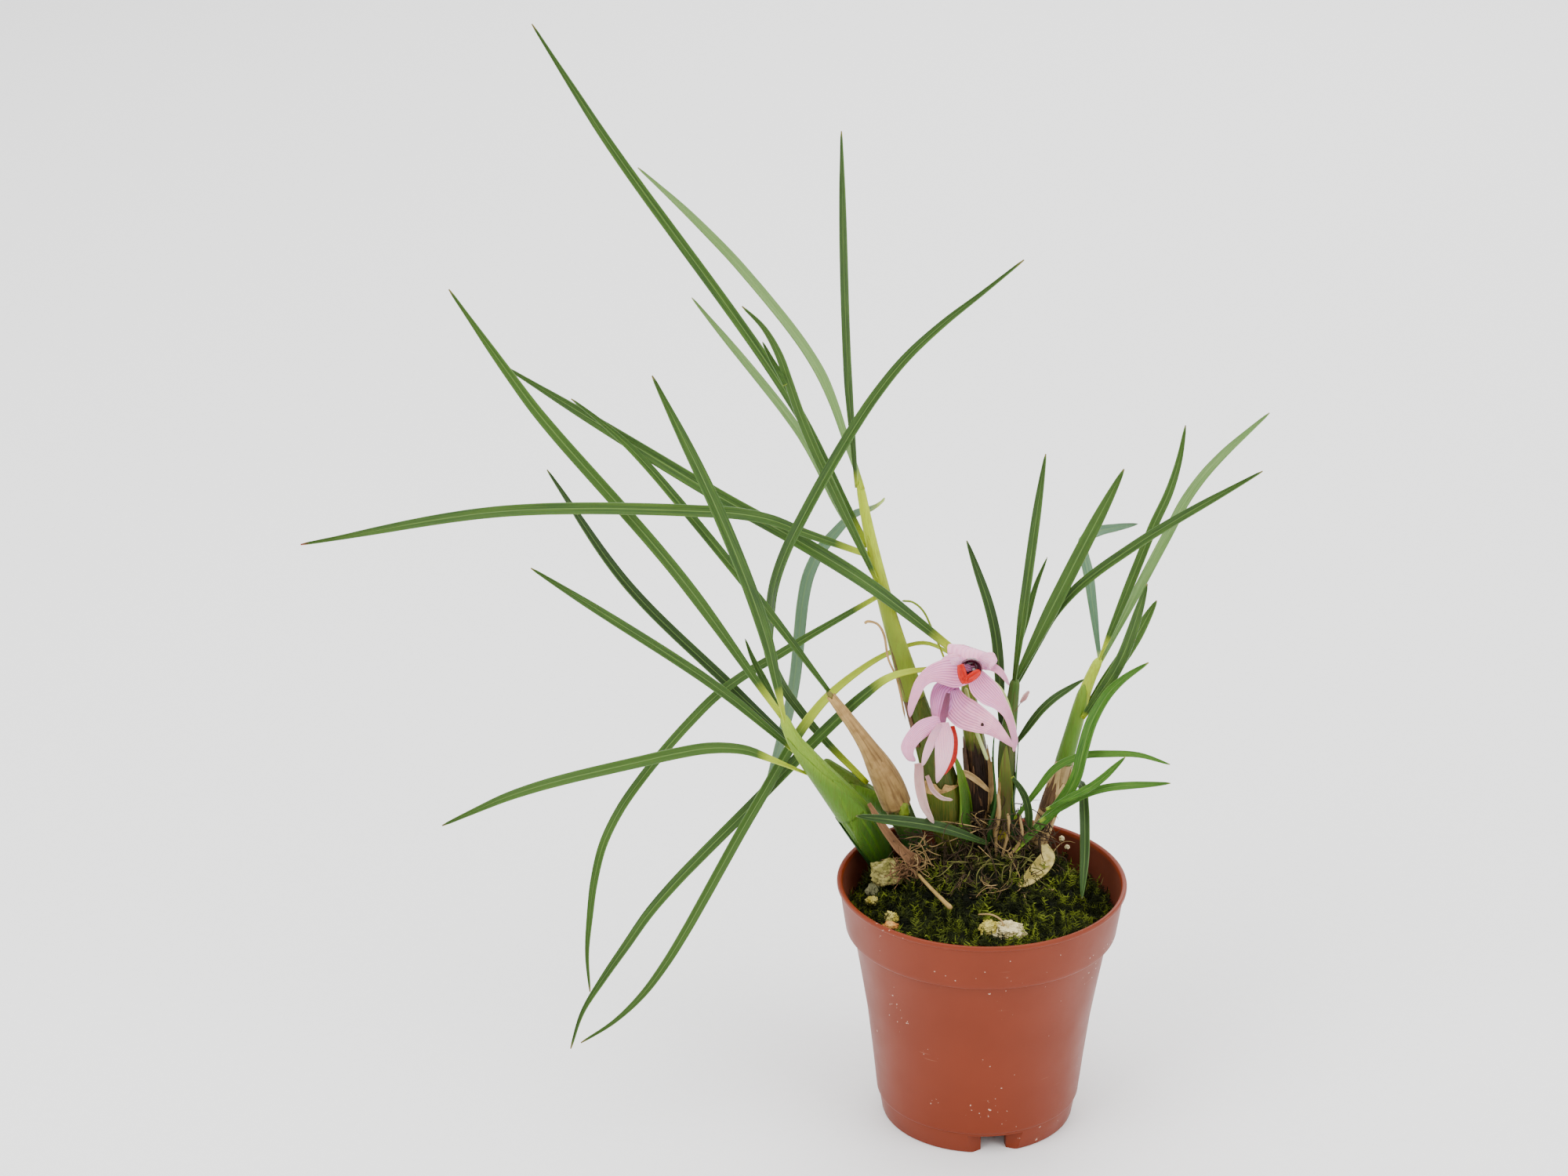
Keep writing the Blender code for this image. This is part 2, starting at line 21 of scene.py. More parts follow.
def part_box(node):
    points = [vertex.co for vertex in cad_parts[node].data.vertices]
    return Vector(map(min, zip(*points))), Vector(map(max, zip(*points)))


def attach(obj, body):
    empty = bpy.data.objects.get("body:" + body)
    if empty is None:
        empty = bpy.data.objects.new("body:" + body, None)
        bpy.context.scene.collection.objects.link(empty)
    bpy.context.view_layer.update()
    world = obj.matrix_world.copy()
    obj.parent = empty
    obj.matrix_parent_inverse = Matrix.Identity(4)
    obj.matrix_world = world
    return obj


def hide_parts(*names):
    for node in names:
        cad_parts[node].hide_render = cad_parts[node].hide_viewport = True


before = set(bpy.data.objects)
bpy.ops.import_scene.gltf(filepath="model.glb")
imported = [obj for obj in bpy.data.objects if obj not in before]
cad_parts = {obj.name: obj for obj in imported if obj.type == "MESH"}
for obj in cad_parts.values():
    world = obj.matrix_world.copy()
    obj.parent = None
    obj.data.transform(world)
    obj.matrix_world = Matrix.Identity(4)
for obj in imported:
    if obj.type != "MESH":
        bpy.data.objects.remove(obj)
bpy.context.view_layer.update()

MM = 0.001
pot_low, pot_high = (Vector(corner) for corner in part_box("pot"))
POT_AXIS = Vector(((pot_low.x + pot_high.x) / 2, (pot_low.y + pot_high.y) / 2, 0))
RIM_RADIUS = (pot_high.x - pot_low.x) / 2 / MM
print("pot axis at", POT_AXIS.to_tuple(4), "rim radius", round(RIM_RADIUS, 2))


def place(x, y, z):
    """A point given in millimetres from the pot's axis and the floor, as scene metres."""
    return POT_AXIS + Vector((x, y, z)) * MM


# %% [markdown]
# ## Camera, floor and light
#
# A plant like this is shown from a little above, on white, so that the pot's mouth is open to
# the eye. The camera is built from three directions, which is exact and needs no constraint.
# Large area lights give the soft, nearly shadowless look of a light tent, because a leaf has
# thin bright edges that a small hard lamp would turn into glare.

# %% Camera
CAMERA_PLACE = (0, -1056.87, 628.35)
CAMERA_TILT = 23.09
CAMERA_YAW = 3.33
LENS = 87.66
camera_data = bpy.data.cameras.new("camera")
camera_data.lens = LENS
camera_data.sensor_width = 36
camera = bpy.data.objects.new("camera", camera_data)
bpy.context.collection.objects.link(camera)
tilt, yaw = math.radians(CAMERA_TILT), math.radians(CAMERA_YAW)
forward = Vector((-math.sin(yaw) * math.cos(tilt), math.cos(yaw) * math.cos(tilt),
                  -math.sin(tilt)))
camera.location = place(*CAMERA_PLACE)
camera.rotation_euler = forward.to_track_quat("-Z", "Y").to_euler()
bpy.context.scene.camera = camera
print("camera", round((camera.location - place(0, 0, 100)).length, 3), "m from the plant")

# %% Floor, sky and soft lights


def add_light(name, location, aim, size, power):
    """A square area light of a size in metres, aimed at a point."""
    light = bpy.data.lights.new(name, "AREA")
    light.size = size
    light.energy = power
    lamp = bpy.data.objects.new(name, light)
    bpy.context.collection.objects.link(lamp)
    lamp.location = location
    lamp.rotation_euler = (Vector(aim) - Vector(location)).to_track_quat("-Z", "Y").to_euler()


AIM = (0, 0, 0.12)
add_light("key_left", (-0.9, -1.0, 1.2), AIM, 1.0, 20)
add_light("fill_right", (1.2, -0.7, 0.8), AIM, 1.0, 12)
add_light("top", (0, 0.1, 1.6), AIM, 1.4, 20)
add_light("behind", (0.2, 1.4, 0.9), AIM, 1.2, 12)
world = bpy.data.worlds.new("white_room")
world.use_nodes = True
background = world.node_tree.nodes["Background"]
background.inputs["Color"].default_value = (1, 1, 1, 1)
background.inputs["Strength"].default_value = 1.25
bpy.context.scene.world = world

# %% [markdown]
# ## Colours and nodes
#
# Colours are written as the sRGB hex codes that any colour picker shows, and one function
# turns them to the linear values that a shader wants. One more function adds any node with
# its settings and links, so that a material reads as a short list.

# %% Helpers for materials


def colour(code):
    """A linear RGBA colour from an sRGB hex code."""
    parts = [int(code[i:i + 2], 16) / 255 for i in (1, 3, 5)]
    return (*[p / 12.92 if p <= 0.04045 else ((p + 0.055) / 1.055) ** 2.4 for p in parts], 1.0)


def node(tree, kind, inputs=None, out=0, **settings):
    """Add a node, give it its settings, values and links, and return one of its outputs."""
    made = tree.nodes.new("ShaderNode" + kind)
    for key, value in settings.items():
        setattr(made, key, value)
    for key, value in (inputs or {}).items():
        if isinstance(value, bpy.types.NodeSocket):
            tree.links.new(value, made.inputs[key])
        else:
            made.inputs[key].default_value = value
    return made.outputs[out]


def start_material(name, **sockets):
    """A new material with its constant values on the shader's own sockets.

    It comes with its node tree and with a point's place in object coordinates.
    """
    made = bpy.data.materials.new(name)
    made.use_nodes = True
    shader = made.node_tree.nodes["Principled BSDF"]
    for key, value in sockets.items():
        shader.inputs[key.replace("_", " ").title().replace("Ior", "IOR")].default_value = value
    return made, made.node_tree, node(made.node_tree, "TexCoord", out=3)


def paint(tree, base, layers, height=None, bump_mm=0.1, roughness=None):
    """Lay colours over a base one after another, and send colour and relief to the shader.

    A layer is (mask, colour) or (source, low, high, most, colour), where the mask rises from 0
    at the source's low value to most, or to 1, at its high one.
    """
    base = colour(base)
    for source, *span, code in layers:
        spread = dict(zip((0, 1, 2, 4), (source, *span)))
        mask = node(tree, "MapRange", spread) if span else source
        base = node(tree, "Mix", {0: mask, 6: base, 7: colour(code)}, 2, data_type="RGBA")
    shader = tree.nodes["Principled BSDF"]
    tree.links.new(base, shader.inputs["Base Color"])
    if roughness is not None:
        tree.links.new(roughness, shader.inputs["Roughness"])
    if height is not None:
        bump = node(tree, "Bump", {"Height": height, "Distance": bump_mm * MM})
        tree.links.new(bump, shader.inputs["Normal"])


def add_shape(primitive, name, **settings):
    """Add a primitive as the only selected object, and name it."""
    bpy.ops.object.select_all(action="DESELECT")
    primitive(**settings)
    piece = bpy.context.object
    piece.name = piece.data.name = name
    return piece


# %% Floor
floor_material, tree, place_on = start_material("matt_white_paper", roughness=0.9)
grain = node(tree, "TexNoise", {"Vector": place_on, "Scale": 300.0})
paint(tree, "#F6F6F5", [(grain, "#FAFAFA")])
floor = add_shape(bpy.ops.mesh.primitive_plane_add, "floor", size=6, location=(0, 0, 0))
floor.data.materials.append(floor_material)
print("floor 6 m wide")

# %% [markdown]
# ## One way to make thin and round plant pieces
#
# Leaves, petals, sheaths, stems and roots are all sheets: flat ones, or ones rolled into a
# tube. So each starts as a grid primitive, and every point (u, v) of the grid is moved to where
# a small function says, with u across the piece and v from its foot to its tip. A thin sheet
# then gets its thickness from Solidify, and a tube has its seam merged and its faces turned
# outwards. The grid keeps marks of u and v as attributes, which the materials read.

# %% Grid helper


def finish_mesh(piece, material, node_names=(), slot="leaf_blade"):
    """Give a piece its finish, hang it on the root body, and hide the CAD nodes it stands for."""
    piece.data.materials.clear()
    piece.data.materials.append(material)
    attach(piece, "root")
    if node_names:
        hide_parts(*node_names)


def mark(piece, name, values):
    """Keep one number for each point of a piece, for its material to read."""
    layer = piece.data.attributes.new(name, "FLOAT", "POINT")
    layer.data.foreach_set("value", values)


def join(pieces):
    """Join pieces into the first of them."""
    bpy.ops.object.select_all(action="DESELECT")
    for piece in pieces:
        piece.select_set(True)
    bpy.context.view_layer.objects.active = pieces[0]
    bpy.ops.object.join()
    return bpy.context.object


def eased(share):
    """0 below 0, 1 above 1, and a smooth rise in between."""
    share = min(1.0, max(0.0, share))
    return share * share * (3 - 2 * share)


def round_end(v, share):
    """How full a tube is: 0 at its very ends, and 1 once a share of its length away from them."""
    near = min(v, 1 - v)
    return math.sqrt(max(0.0, 1 - (1 - near / share) ** 2)) if near < share else 1.0


SEAM = 0.002 * MM      # points closer than this are one point


def shaped_grid(name, across, along, shape, closed=False, thickness=0.0, tone=0.5, foot=0.0):
    """A grid primitive with every point moved to shape(u, v), both from 0 to 1."""
    piece = add_shape(bpy.ops.mesh.primitive_grid_add, name, x_subdivisions=across,
                      y_subdivisions=along, size=1)
    shares = [(vert.co.x + 0.5, vert.co.y + 0.5) for vert in piece.data.vertices]
    mark(piece, "across", [2 * u - 1 for u, v in shares])
    mark(piece, "along", [v for u, v in shares])
    mark(piece, "tone", [tone] * len(shares))
    mark(piece, "foot", [foot] * len(shares))
    for vert, (u, v) in zip(piece.data.vertices, shares):
        vert.co = shape(u, v)
    if closed:
        bpy.ops.object.mode_set(mode="EDIT")
        bpy.ops.mesh.select_all(action="SELECT")
        bpy.ops.mesh.remove_doubles(threshold=SEAM)
        bpy.ops.mesh.normals_make_consistent(inside=False)
        bpy.ops.object.mode_set(mode="OBJECT")
    if thickness:
        skin = piece.modifiers.new("thickness", "SOLIDIFY")
        skin.thickness = thickness * MM
        skin.offset = 0
        bpy.ops.object.modifier_apply(modifier=skin.name)
    bpy.ops.object.shade_smooth()
    return piece


def curve_at(rows, share):
    """The row of numbers at a share of the way along smooth rows (a Catmull-Rom curve)."""
    steps = len(rows) - 1
    place_on = min(max(share, -0.5), 1.5) * steps
    i = min(max(int(place_on), 0), steps - 1)
    t = place_on - i
    before = rows[i - 1] if i else 2 * rows[0] - rows[1]
    after = rows[i + 2] if i + 2 <= steps else 2 * rows[-1] - rows[-2]
    start, end = rows[i], rows[i + 1]
    return 0.5 * (2 * start + (end - before) * t
                  + (2 * before - 5 * start + 4 * end - after) * t ** 2
                  + (3 * start - 3 * end + after - before) * t ** 3)


def direction_at(rows, share):
    """The way a curve runs at a share of the way along it."""
    step = 0.01
    return Vector((curve_at(rows, share + step) - curve_at(rows, share - step))[:3]).normalized()


def rings_of(node_name, sides):
    """The rings of points of a CAD blade or stem, from its foot to its tip."""
    form = bmesh.new()
    form.from_mesh(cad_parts[node_name].data)
    bmesh.ops.remove_doubles(form, verts=form.verts, dist=0.01 * MM)
    form.verts.index_update()
    middle = sum((vert.co for vert in form.verts), Vector()) / len(form.verts)
    shortest = min(edge.calc_length() for edge in form.edges)
    narrow = [edge.verts[0] for edge in form.edges if edge.calc_length() < 1.05 * shortest]
    tip = max(narrow, key=lambda vert: (vert.co - middle).length)
    ring = sorted(form.verts, key=lambda vert: (vert.co - tip.co).length)[:sides]
    rings, seen = [ring], set(ring)
    while True:
        following = {edge.other_vert(vert) for vert in rings[-1] for edge in vert.link_edges} - seen
        if not following:
            break
        rings.append(sorted(following, key=lambda vert: vert.index))
        seen |= following
    points = [[vert.co.copy() for vert in ring] for ring in reversed(rings)]
    form.free()
    return points


# %% Read the spine of a blade and of a stem


def blade_spine(node_name):
    """Rows of (centre, vector across the blade as long as its width), foot first."""
    rows, before, lift = [], None, None
    for ring in rings_of(node_name, 4):
        first, second = max(itertools.combinations(ring, 2),
                            key=lambda pair: (pair[0] - pair[1]).length)
        across = first - second
        if before is not None and across.dot(before) < 0:
            across.negate()
        before = across.copy()
        if len(rows) == 2:
            others = [point for point in ring if point not in (first, second)]
            lift = (first + second) / 2 - (others[0] + others[1]) / 2
        centre = (first + second) / 2
        rows.append(np.array((*centre, *across)))
    along = Vector((rows[3] - rows[1])[:3])
    if Vector(rows[2][3:]).cross(along).dot(lift) < 0:
        rows = [np.array((*row[:3], *-row[3:])) for row in rows]
    return rows


def strand_rows(points):
    """Rows of (centre, radius) from points of (x, y, z, radius) in millimetres."""
    return [np.array((*place(*point[:3]), point[3] * MM)) for point in points]


def stem_spine(node_name, sides=8):
    """Rows of (centre, radius) of a CAD stem, foot first."""
    rows = []
    for ring in rings_of(node_name, sides):
        centre = sum(ring, Vector()) / len(ring)
        radius = sum((point - centre).length for point in ring) / len(ring)
        rows.append(np.array((*centre, radius)))
    return rows


def on_blade(rows, u, v, fold, wave=0.0, fuller=1.0):
    """A point on a blade: a shallow fold along the middle, and edges that wave a little."""
    row = curve_at(rows, v)
    across = Vector(row[3:6]) * fuller
    width = across.length
    up = across.cross(direction_at(rows, v)).normalized()
    side = 2 * u - 1
    ripple = wave * width * math.sin(9 * v + 4 * side) * side * side
    rise = fold * width * abs(side) ** 1.5 + ripple
    return Vector(row[:3]) + across * side / 2 + up * rise


def on_stem(rows, turn, v, swell=1.0):
    """A point on a stem's skin, at a turn from 0 to 1 round it and a share of the way up."""
    row = curve_at(rows, v)
    along = direction_at(rows, v)
    side = along.cross(Vector((0, 1, 0))).normalized()
    angle = math.tau * turn
    outwards = side * math.cos(angle) + side.cross(along) * math.sin(angle)
    return Vector(row[:3]) + outwards * row[3] * swell


print("spine of", len(blade_spine("central_leaf_1")), "stations read from one leaf")

# %% [markdown]
# ## Leaf finish
#
# The leaves are living tissue with a waxy skin: a satin surface, deep green above, with a pale
# groove down the middle and fine veins that run lengthwise. Each leaf is yellow-green where it
# leaves its shoot, and its very tip is dry; a lighter strip along each edge is a painted rim
# highlight. All of that follows the blade, so the material reads the marks of the grid. Six
# tints of the one finish cover the whole plant: among them a paler one is painted light for
# backlit leaves, and a darker one is painted shade for leaves in shade.

# %% Leaf materials


def leaf_material(name, deep, fresh, foot, tip):
    """A waxy leaf: deep and fresh greens in streaks, a pale midrib, a pale foot and a dry tip."""
    made, tree, _ = start_material(
        name, roughness=0.42, ior=1.42, coat_weight=0.04, coat_roughness=0.3,
        subsurface_weight=0.06, subsurface_scale=1.0 * MM, specular_ior_level=0.3)
    across, along, tone, foot_share = (node(tree, "Attribute", {}, 2, attribute_name=key)
                                       for key in ("across", "along", "tone", "foot"))
    strip = node(tree, "CombineXYZ", {0: across, 1: along, 2: tone})
    # Veins lie about 0.3 mm apart, so a 4 mm blade shows a dozen of them.
    veins = node(tree, "TexWave", {"Vector": strip, "Scale": 1.9, "Distortion": 0.4})
    stretched = node(tree, "Mapping", {"Vector": strip, "Scale": (5.0, 9.0, 7.0)})
    streaks = node(tree, "TexNoise", {"Vector": stretched, "Scale": 1.0, "Detail": 4.0})
    middle = node(tree, "Math", {0: across}, operation="ABSOLUTE")
    past_foot = node(tree, "Math", {0: along, 1: foot_share}, operation="SUBTRACT")
    paint(tree, deep, [
        (streaks, 0.35, 0.7, fresh), (tone, 0.3, 1.0, 0.6, fresh),
        (veins, 0.0, 1.0, 0.12, "#557A32"), (middle, 0.12, 0.02, 0.4, "#7C9A50"),
        # The lighter strip along each edge is a painted rim highlight.
        (middle, 0.86, 1.0, 0.35, "#567A34"),
        (past_foot, 0.025, -0.015, foot), (along, 0.985, 1.0, tip)], veins, 0.05)
    return made


FOOT_YELLOW = "#A3B52A"
leaf_green = leaf_material("waxy_leaf_green", "#1B360B", "#3C5A16", FOOT_YELLOW, "#7A6A3A")
# A paler copy of the leaf finish: painted light for leaves lit from behind.
leaf_painted_backlight = leaf_material("waxy_leaf_painted_backlight", "#4F6E36", "#6C8A4C", FOOT_YELLOW, "#9A9A6A")
leaf_grey = leaf_material("waxy_leaf_grey_green", "#486850", "#5E7F60", "#A9BE62", "#9AA890")
leaf_red_tip = leaf_material("waxy_leaf_dry_red_tip", "#223F0E", "#435F18", FOOT_YELLOW, "#8E3B2C")
# A darker copy of the leaf finish: painted shade for leaves in shadow, such as those low by the
# pot.
leaf_painted_shade = leaf_material("waxy_leaf_painted_shade", "#14260A", "#263F10", FOOT_YELLOW, "#6A6A3A")
leaf_bright = leaf_material("waxy_leaf_young", "#2A5512", "#4F7A20", "#A9C43C", "#8C8A40")
print("leaf finishes made: 6")

# %% [markdown]
# ## Leaves
#
# Each blade is a long strap folded lengthwise into a shallow channel, which is what stiffens
# it. Its spine comes from the CAD blade: the rings give a centre line, a direction across and a
# width. A grid laid along that spine gives a much finer blade with a crisp fold and slightly
# waved edges. The foot is carried on a little way, so that it grows out of its shoot.

# %% Make every leaf
LEAF_SKIN = 0.42
SHORT_FOOT, LONG_FOOT = 3.0, 7.0    # how far a blade is carried on below its CAD foot
CROWN_LEAVES = {"central_leaf_2", "central_leaf_3", "central_leaf_8", "left_leaf_1", "left_leaf_2",
                "narrow_leaf_1", "narrow_leaf_2", "narrow_leaf_3", "right_leaf_1", "right_leaf_2",
                "right_leaf_5"}
LEAF_FOLD = 0.17
leaf_names = sorted(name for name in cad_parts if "leaf" in name)
LEAF_TINTS = {
    "central_leaf_2": leaf_painted_backlight, "central_leaf_4": leaf_painted_backlight, "central_leaf_8": leaf_grey,
    "central_leaf_6": leaf_red_tip, "right_leaf_2": leaf_painted_backlight, "right_leaf_5": leaf_grey,
    "low_leaf_1": leaf_bright, "low_leaf_2": leaf_bright, "low_leaf_3": leaf_bright,
    "low_leaf_4": leaf_bright, "low_leaf_5": leaf_painted_shade, "low_leaf_6": leaf_painted_shade,
    "narrow_leaf_4": leaf_painted_shade, "narrow_leaf_5": leaf_painted_shade, "left_leaf_3": leaf_painted_shade,
}
# How far up each blade its yellow foot reaches, as a share of its length: below 0 it has none.
USUAL_FOOT, NO_FOOT = 0.03, -0.1
LEAF_FEET = {
    "flowering_leaf_2": 0.33, "flowering_leaf_3": 0.17, "flowering_leaf_1": 0.07,
    "central_leaf_6": 0.06, "central_leaf_4": 0.06, "central_leaf_7": 0.04, "left_leaf_1": 0.10,
    "left_leaf_2": 0.08, "left_leaf_5": 0.14, "back_left_leaf": 0.05, "right_leaf_1": 0.12,
    **dict.fromkeys(("papery_bulb_leaf", "narrow_leaf_1", "narrow_leaf_2", "narrow_leaf_3",
                     "narrow_leaf_4", "narrow_leaf_5", "low_leaf_5", "low_leaf_6",
                     "right_leaf_4"), NO_FOOT),
}
FULLEST = 2.0                           # the most that a tip is widened
LONG_YELLOW_FOOT, FOOT_FOLDED_BY = 0.09, 0.42
LEAF_WAVE = 0.012
FACE_LENGTH = 2.2                       # millimetres of blade for each face along it


def fuller_tip(v):
    """How much wider than the CAD blade a leaf is: it keeps its width until close to its tip."""
    if v < 0.05:
        return 1.0
    return min(FULLEST, (1 - v ** 7 + 0.01) / (1 - v ** 3.2 + 0.01))


def slim_foot(v, foot):
    """How much narrower a long yellow foot is: there the blade is folded nearly shut."""
    return 1 - FOOT_FOLDED_BY * eased(1.3 - v / foot) if foot > LONG_YELLOW_FOOT else 1.0


for index, name in enumerate(leaf_names):
    foot = LEAF_FEET.get(name, USUAL_FOOT)
    rows = blade_spine(name)
    length = sum(np.linalg.norm((b - a)[:3]) for a, b in zip(rows, rows[1:])) / MM
    reach = (LONG_FOOT if name in CROWN_LEAVES else SHORT_FOOT) / length
    leaf = shaped_grid(
        "blade_of_" + name, 8, max(30, round(length / FACE_LENGTH)),
        lambda u, v: on_blade(rows, u, v * (1 + reach) - reach, LEAF_FOLD, LEAF_WAVE,
                              fuller_tip(v) * slim_foot(v, foot)),
        thickness=LEAF_SKIN, tone=(index * 0.37) % 1, foot=foot)
    finish_mesh(leaf, LEAF_TINTS.get(name, leaf_green), [name], "leaf_blade")
print(len(leaf_names), "leaves laid along their spines")

# %% [markdown]
# ## Shoots
#
# A shoot is a swollen, ribbed stem wrapped in the bases of its leaves. Its rings are read from
# the CAD stem, and a grid rolled into a tube is laid on them with a rib every few degrees and
# rounded ends. Colour changes up the stem, from old and brown at the foot to fresh yellow-green
# at the top, with ragged borders, so the finish mixes bands by height and breaks them up with
# noise.

# %% Shoot materials


def shoot_material(name, base, bands, fibre="#6B5A2C", fibre_amount=0.25, roughness=0.5):
    """A ribbed green stem. Each band is (start, end, colour): it sets in between those heights."""
    made, tree, place_on = start_material(
        name, roughness=roughness, ior=1.42, subsurface_weight=0.05,
        subsurface_scale=1.0 * MM, specular_ior_level=0.25)
    along = node(tree, "Attribute", {}, 2, attribute_name="along")
    ragged = node(tree, "TexNoise", {"Vector": place_on, "Scale": 260.0, "Detail": 3.0})
    # Fibres run up the stem about 0.5 mm apart.
    drawn = node(tree, "Mapping", {"Vector": place_on, "Scale": (1900.0, 1900.0, 90.0)})
    fibres = node(tree, "TexNoise", {"Vector": drawn, "Scale": 1.0, "Detail": 2.0})
    height = node(tree, "Math", {0: ragged, 1: 0.16, 2: along}, operation="MULTIPLY_ADD")
    # The noise lifts the height by 0.08 on average, so each band starts that much higher.
    layers = [(height, start + 0.08, end + 0.08, code) for start, end, code in bands]
    paint(tree, base, layers + [(fibres, 0.45, 0.75, fibre_amount, fibre),
                                (ragged, 0.62, 0.8, 0.3, "#4B3B1E")], fibres, 0.25)
    return made


SHOOT_FINISHES = {
    "central_shoot": shoot_material("ribbed_green_bulb", "#343F10", [
        (0.22, 0.30, "#3C4E16"), (0.42, 0.58, "#6C7E1E"), (0.62, 0.82, "#A6B81E")],
        fibre_amount=0.4),
    "flowering_shoot": shoot_material("brown_old_bulb", "#3A2A1A", [
        (0.30, 0.45, "#33241A"), (0.50, 0.58, "#586A1C"), (0.82, 0.95, "#8AA22C")], "#8A6A48", 0.5),
    "left_bulb_shoot": shoot_material("fresh_bulb_in_sheaths", "#3A5E16", [
        (0.25, 0.45, "#547620"), (0.55, 0.75, "#72922A"), (0.85, 1.0, "#8AA628")],
        fibre_amount=0.12),
    "back_left_shoot": shoot_material("young_yellow_green_shoot", "#7C8F24", [
        (0.1, 0.25, "#3E561A"), (0.6, 0.8, "#4C661C")]),
    "papery_old_bulb": shoot_material("bulb_in_papery_sheath", "#2C521A", [
        (0.14, 0.22, "#3E5A1A"), (0.27, 0.29, "#A68552"), (0.45, 0.6, "#9A7A48"),
        (0.92, 0.98, "#6A6A32")], "#6A4A38", 0.55, 0.75),
    "narrow_shoot": shoot_material("mottled_slender_shoot", "#5A6420", [
        (0.06, 0.10, "#9A8F2A"), (0.22, 0.30, "#3A4C1C"), (0.6, 0.8, "#3C5A20")], "#6B5138", 0.45),
    "right_shoot": shoot_material("shoot_in_dry_sheath", "#A88A64", [
        (0.18, 0.26, "#463022"), (0.34, 0.40, "#A0875C"), (0.50, 0.60, "#7C822A"),
        (0.72, 0.84, "#A4BA2C")], "#7A5C40", 0.4, 0.65),
}

# %% Make every shoot
RIB_DEPTH, OUT_OF_ROUND, END_SHARE = 0.035, 0.02, 0.04
FRONT, BACK, LEFT = 0.75, 0.25, 1.0                  # turns round a stem, from its left
RIBS = {"central_shoot": 16, "left_bulb_shoot": 14, "papery_old_bulb": 11}
GIRTH = {"left_bulb_shoot": 0.90, "right_shoot": 0.88}      # the CAD stem allows for its sheaths
spines = {name: [np.array((*row[:3], row[3] * GIRTH.get(name, 1))) for row in stem_spine(name)]
          for name in SHOOT_FINISHES}


def shoot_shape(rows, ribs, sink=0.0):
    """A tube along a spine with lengthwise ribs and rounded ends, its foot sunk by a share."""
    def shape(u, v):
        rib = (1 + RIB_DEPTH * math.cos(math.tau * ribs * u)
               + OUT_OF_ROUND * math.sin(math.tau * 2 * u + 9 * v))
        return on_stem(rows, u + BACK, v * (1 + sink) - sink, round_end(v, END_SHARE) * rib)
    return shape


for name, rows in spines.items():
    shape = shoot_shape(rows, RIBS.get(name, 9), 0.03)
    shoot = shaped_grid("ribbed_" + name, 64, 90, shape, closed=True)
    finish_mesh(shoot, SHOOT_FINISHES[name], [name], "green_shoot")
print(len(spines), "shoots made")

# %% [markdown]
# ## Sheaths round the shoots
#
# Old leaf bases stay on as sheaths: some still green, some dried to thin tan paper with a torn
# edge. Each is a part of a tube, a little wider than the stem that it wraps, so the same grid is
# laid on the stem's skin over part of a turn and part of the height, and drawn to a point.

# %% Sheath materials


def papery_material(name, pale, dark, fibre, roughness=0.8):
    """Dead sheath or husk: dry, matt and fibrous, with dark lengthwise fibres and stains."""
    made, tree, place_on = start_material(name, roughness=roughness, specular_ior_level=0.25)
    across, along = (node(tree, "Attribute", {}, 2, attribute_name=key)
                     for key in ("across", "along"))
    strip = node(tree, "CombineXYZ", {0: across, 1: along})
    drawn = node(tree, "Mapping", {"Vector": strip, "Scale": (11.0, 1.3, 1.0)})
    fibres = node(tree, "TexNoise", {"Vector": drawn, "Scale": 1.0, "Detail": 5.0})
    stains = node(tree, "TexNoise", {"Vector": place_on, "Scale": 330.0, "Detail": 3.0})
    paint(tree, pale, [(stains, 0.45, 0.75, 0.8, dark), (fibres, 0.48, 0.68, 0.75, fibre)],
          fibres, 0.2)
    return made


paper_tan = papery_material("dry_tan_sheath", "#B08E58", "#84653C", "#5A4026")
paper_pale = papery_material("dry_pale_sheath", "#C2A470", "#94723E", "#694A28")
paper_brown = papery_material("dead_brown_sheath", "#60442E", "#32221A", "#8E7050")
paper_rust = papery_material("dead_rust_sheath", "#866242", "#62442E", "#42301F")
straw_finish = papery_material("dry_straw", "#A68A50", "#7C6236", "#584224")
sheath_olive, sheath_green, sheath_dark, sheath_light, sheath_mottled, sheath_yellow = (
    shoot_material(name + "_leaf_base", low, [(start, end, high)], fibre, amount)
    for name, low, start, end, high, fibre, amount in [
        ("old_olive", "#34400F", 0.5, 0.9, "#485614", "#6A5A20", 0.55),
        ("green", "#34561A", 0.5, 0.9, "#56781F", "#4B4A1E", 0.4),
        ("dark_green", "#1E3D16", 0.6, 0.95, "#2C521D", "#223A18", 0.3),
        ("light_green", "#4E7220", 0.5, 0.9, "#6C8C28", "#54551F", 0.4),
        ("mottled", "#464E1C", 0.5, 0.9, "#5C6E24", "#5A3F28", 0.65),
        ("yellow_green", "#6C8020", 0.4, 0.9, "#96A422", "#6A6A24", 0.35)])
sheath_black = papery_material("rotted_black_sheath", "#2A1D16", "#170F0B", "#4A3628", 0.85)

# %% Wrap the sheaths
SHEATH_SKIN = 0.28


def sheath(name, stem, low, high, facing, arc, material, swell, flare, point, torn=0.0):
    """Part of a sleeve round a stem, from a low to a high share of it, drawn to a point on top."""
    rows = spines[stem]

    def shape(u, v):
        side = abs(2 * u - 1)
        top = high - (high - low) * point * side ** 1.6
        top += torn * (noise.noise((u * 9, low * 40, 0.3)) - 0.2) * (high - low)
        taper = 1 - 0.35 * v ** 3 * point
        return on_stem(rows, facing + arc * (u - 0.5) * taper, low + (top - low) * v,
                       swell + flare * v * v)

    piece = shaped_grid(name, 26, 30, shape, thickness=SHEATH_SKIN)
    finish_mesh(piece, material, slot="dry_sheath" if "dry" in material.name else "green_shoot")


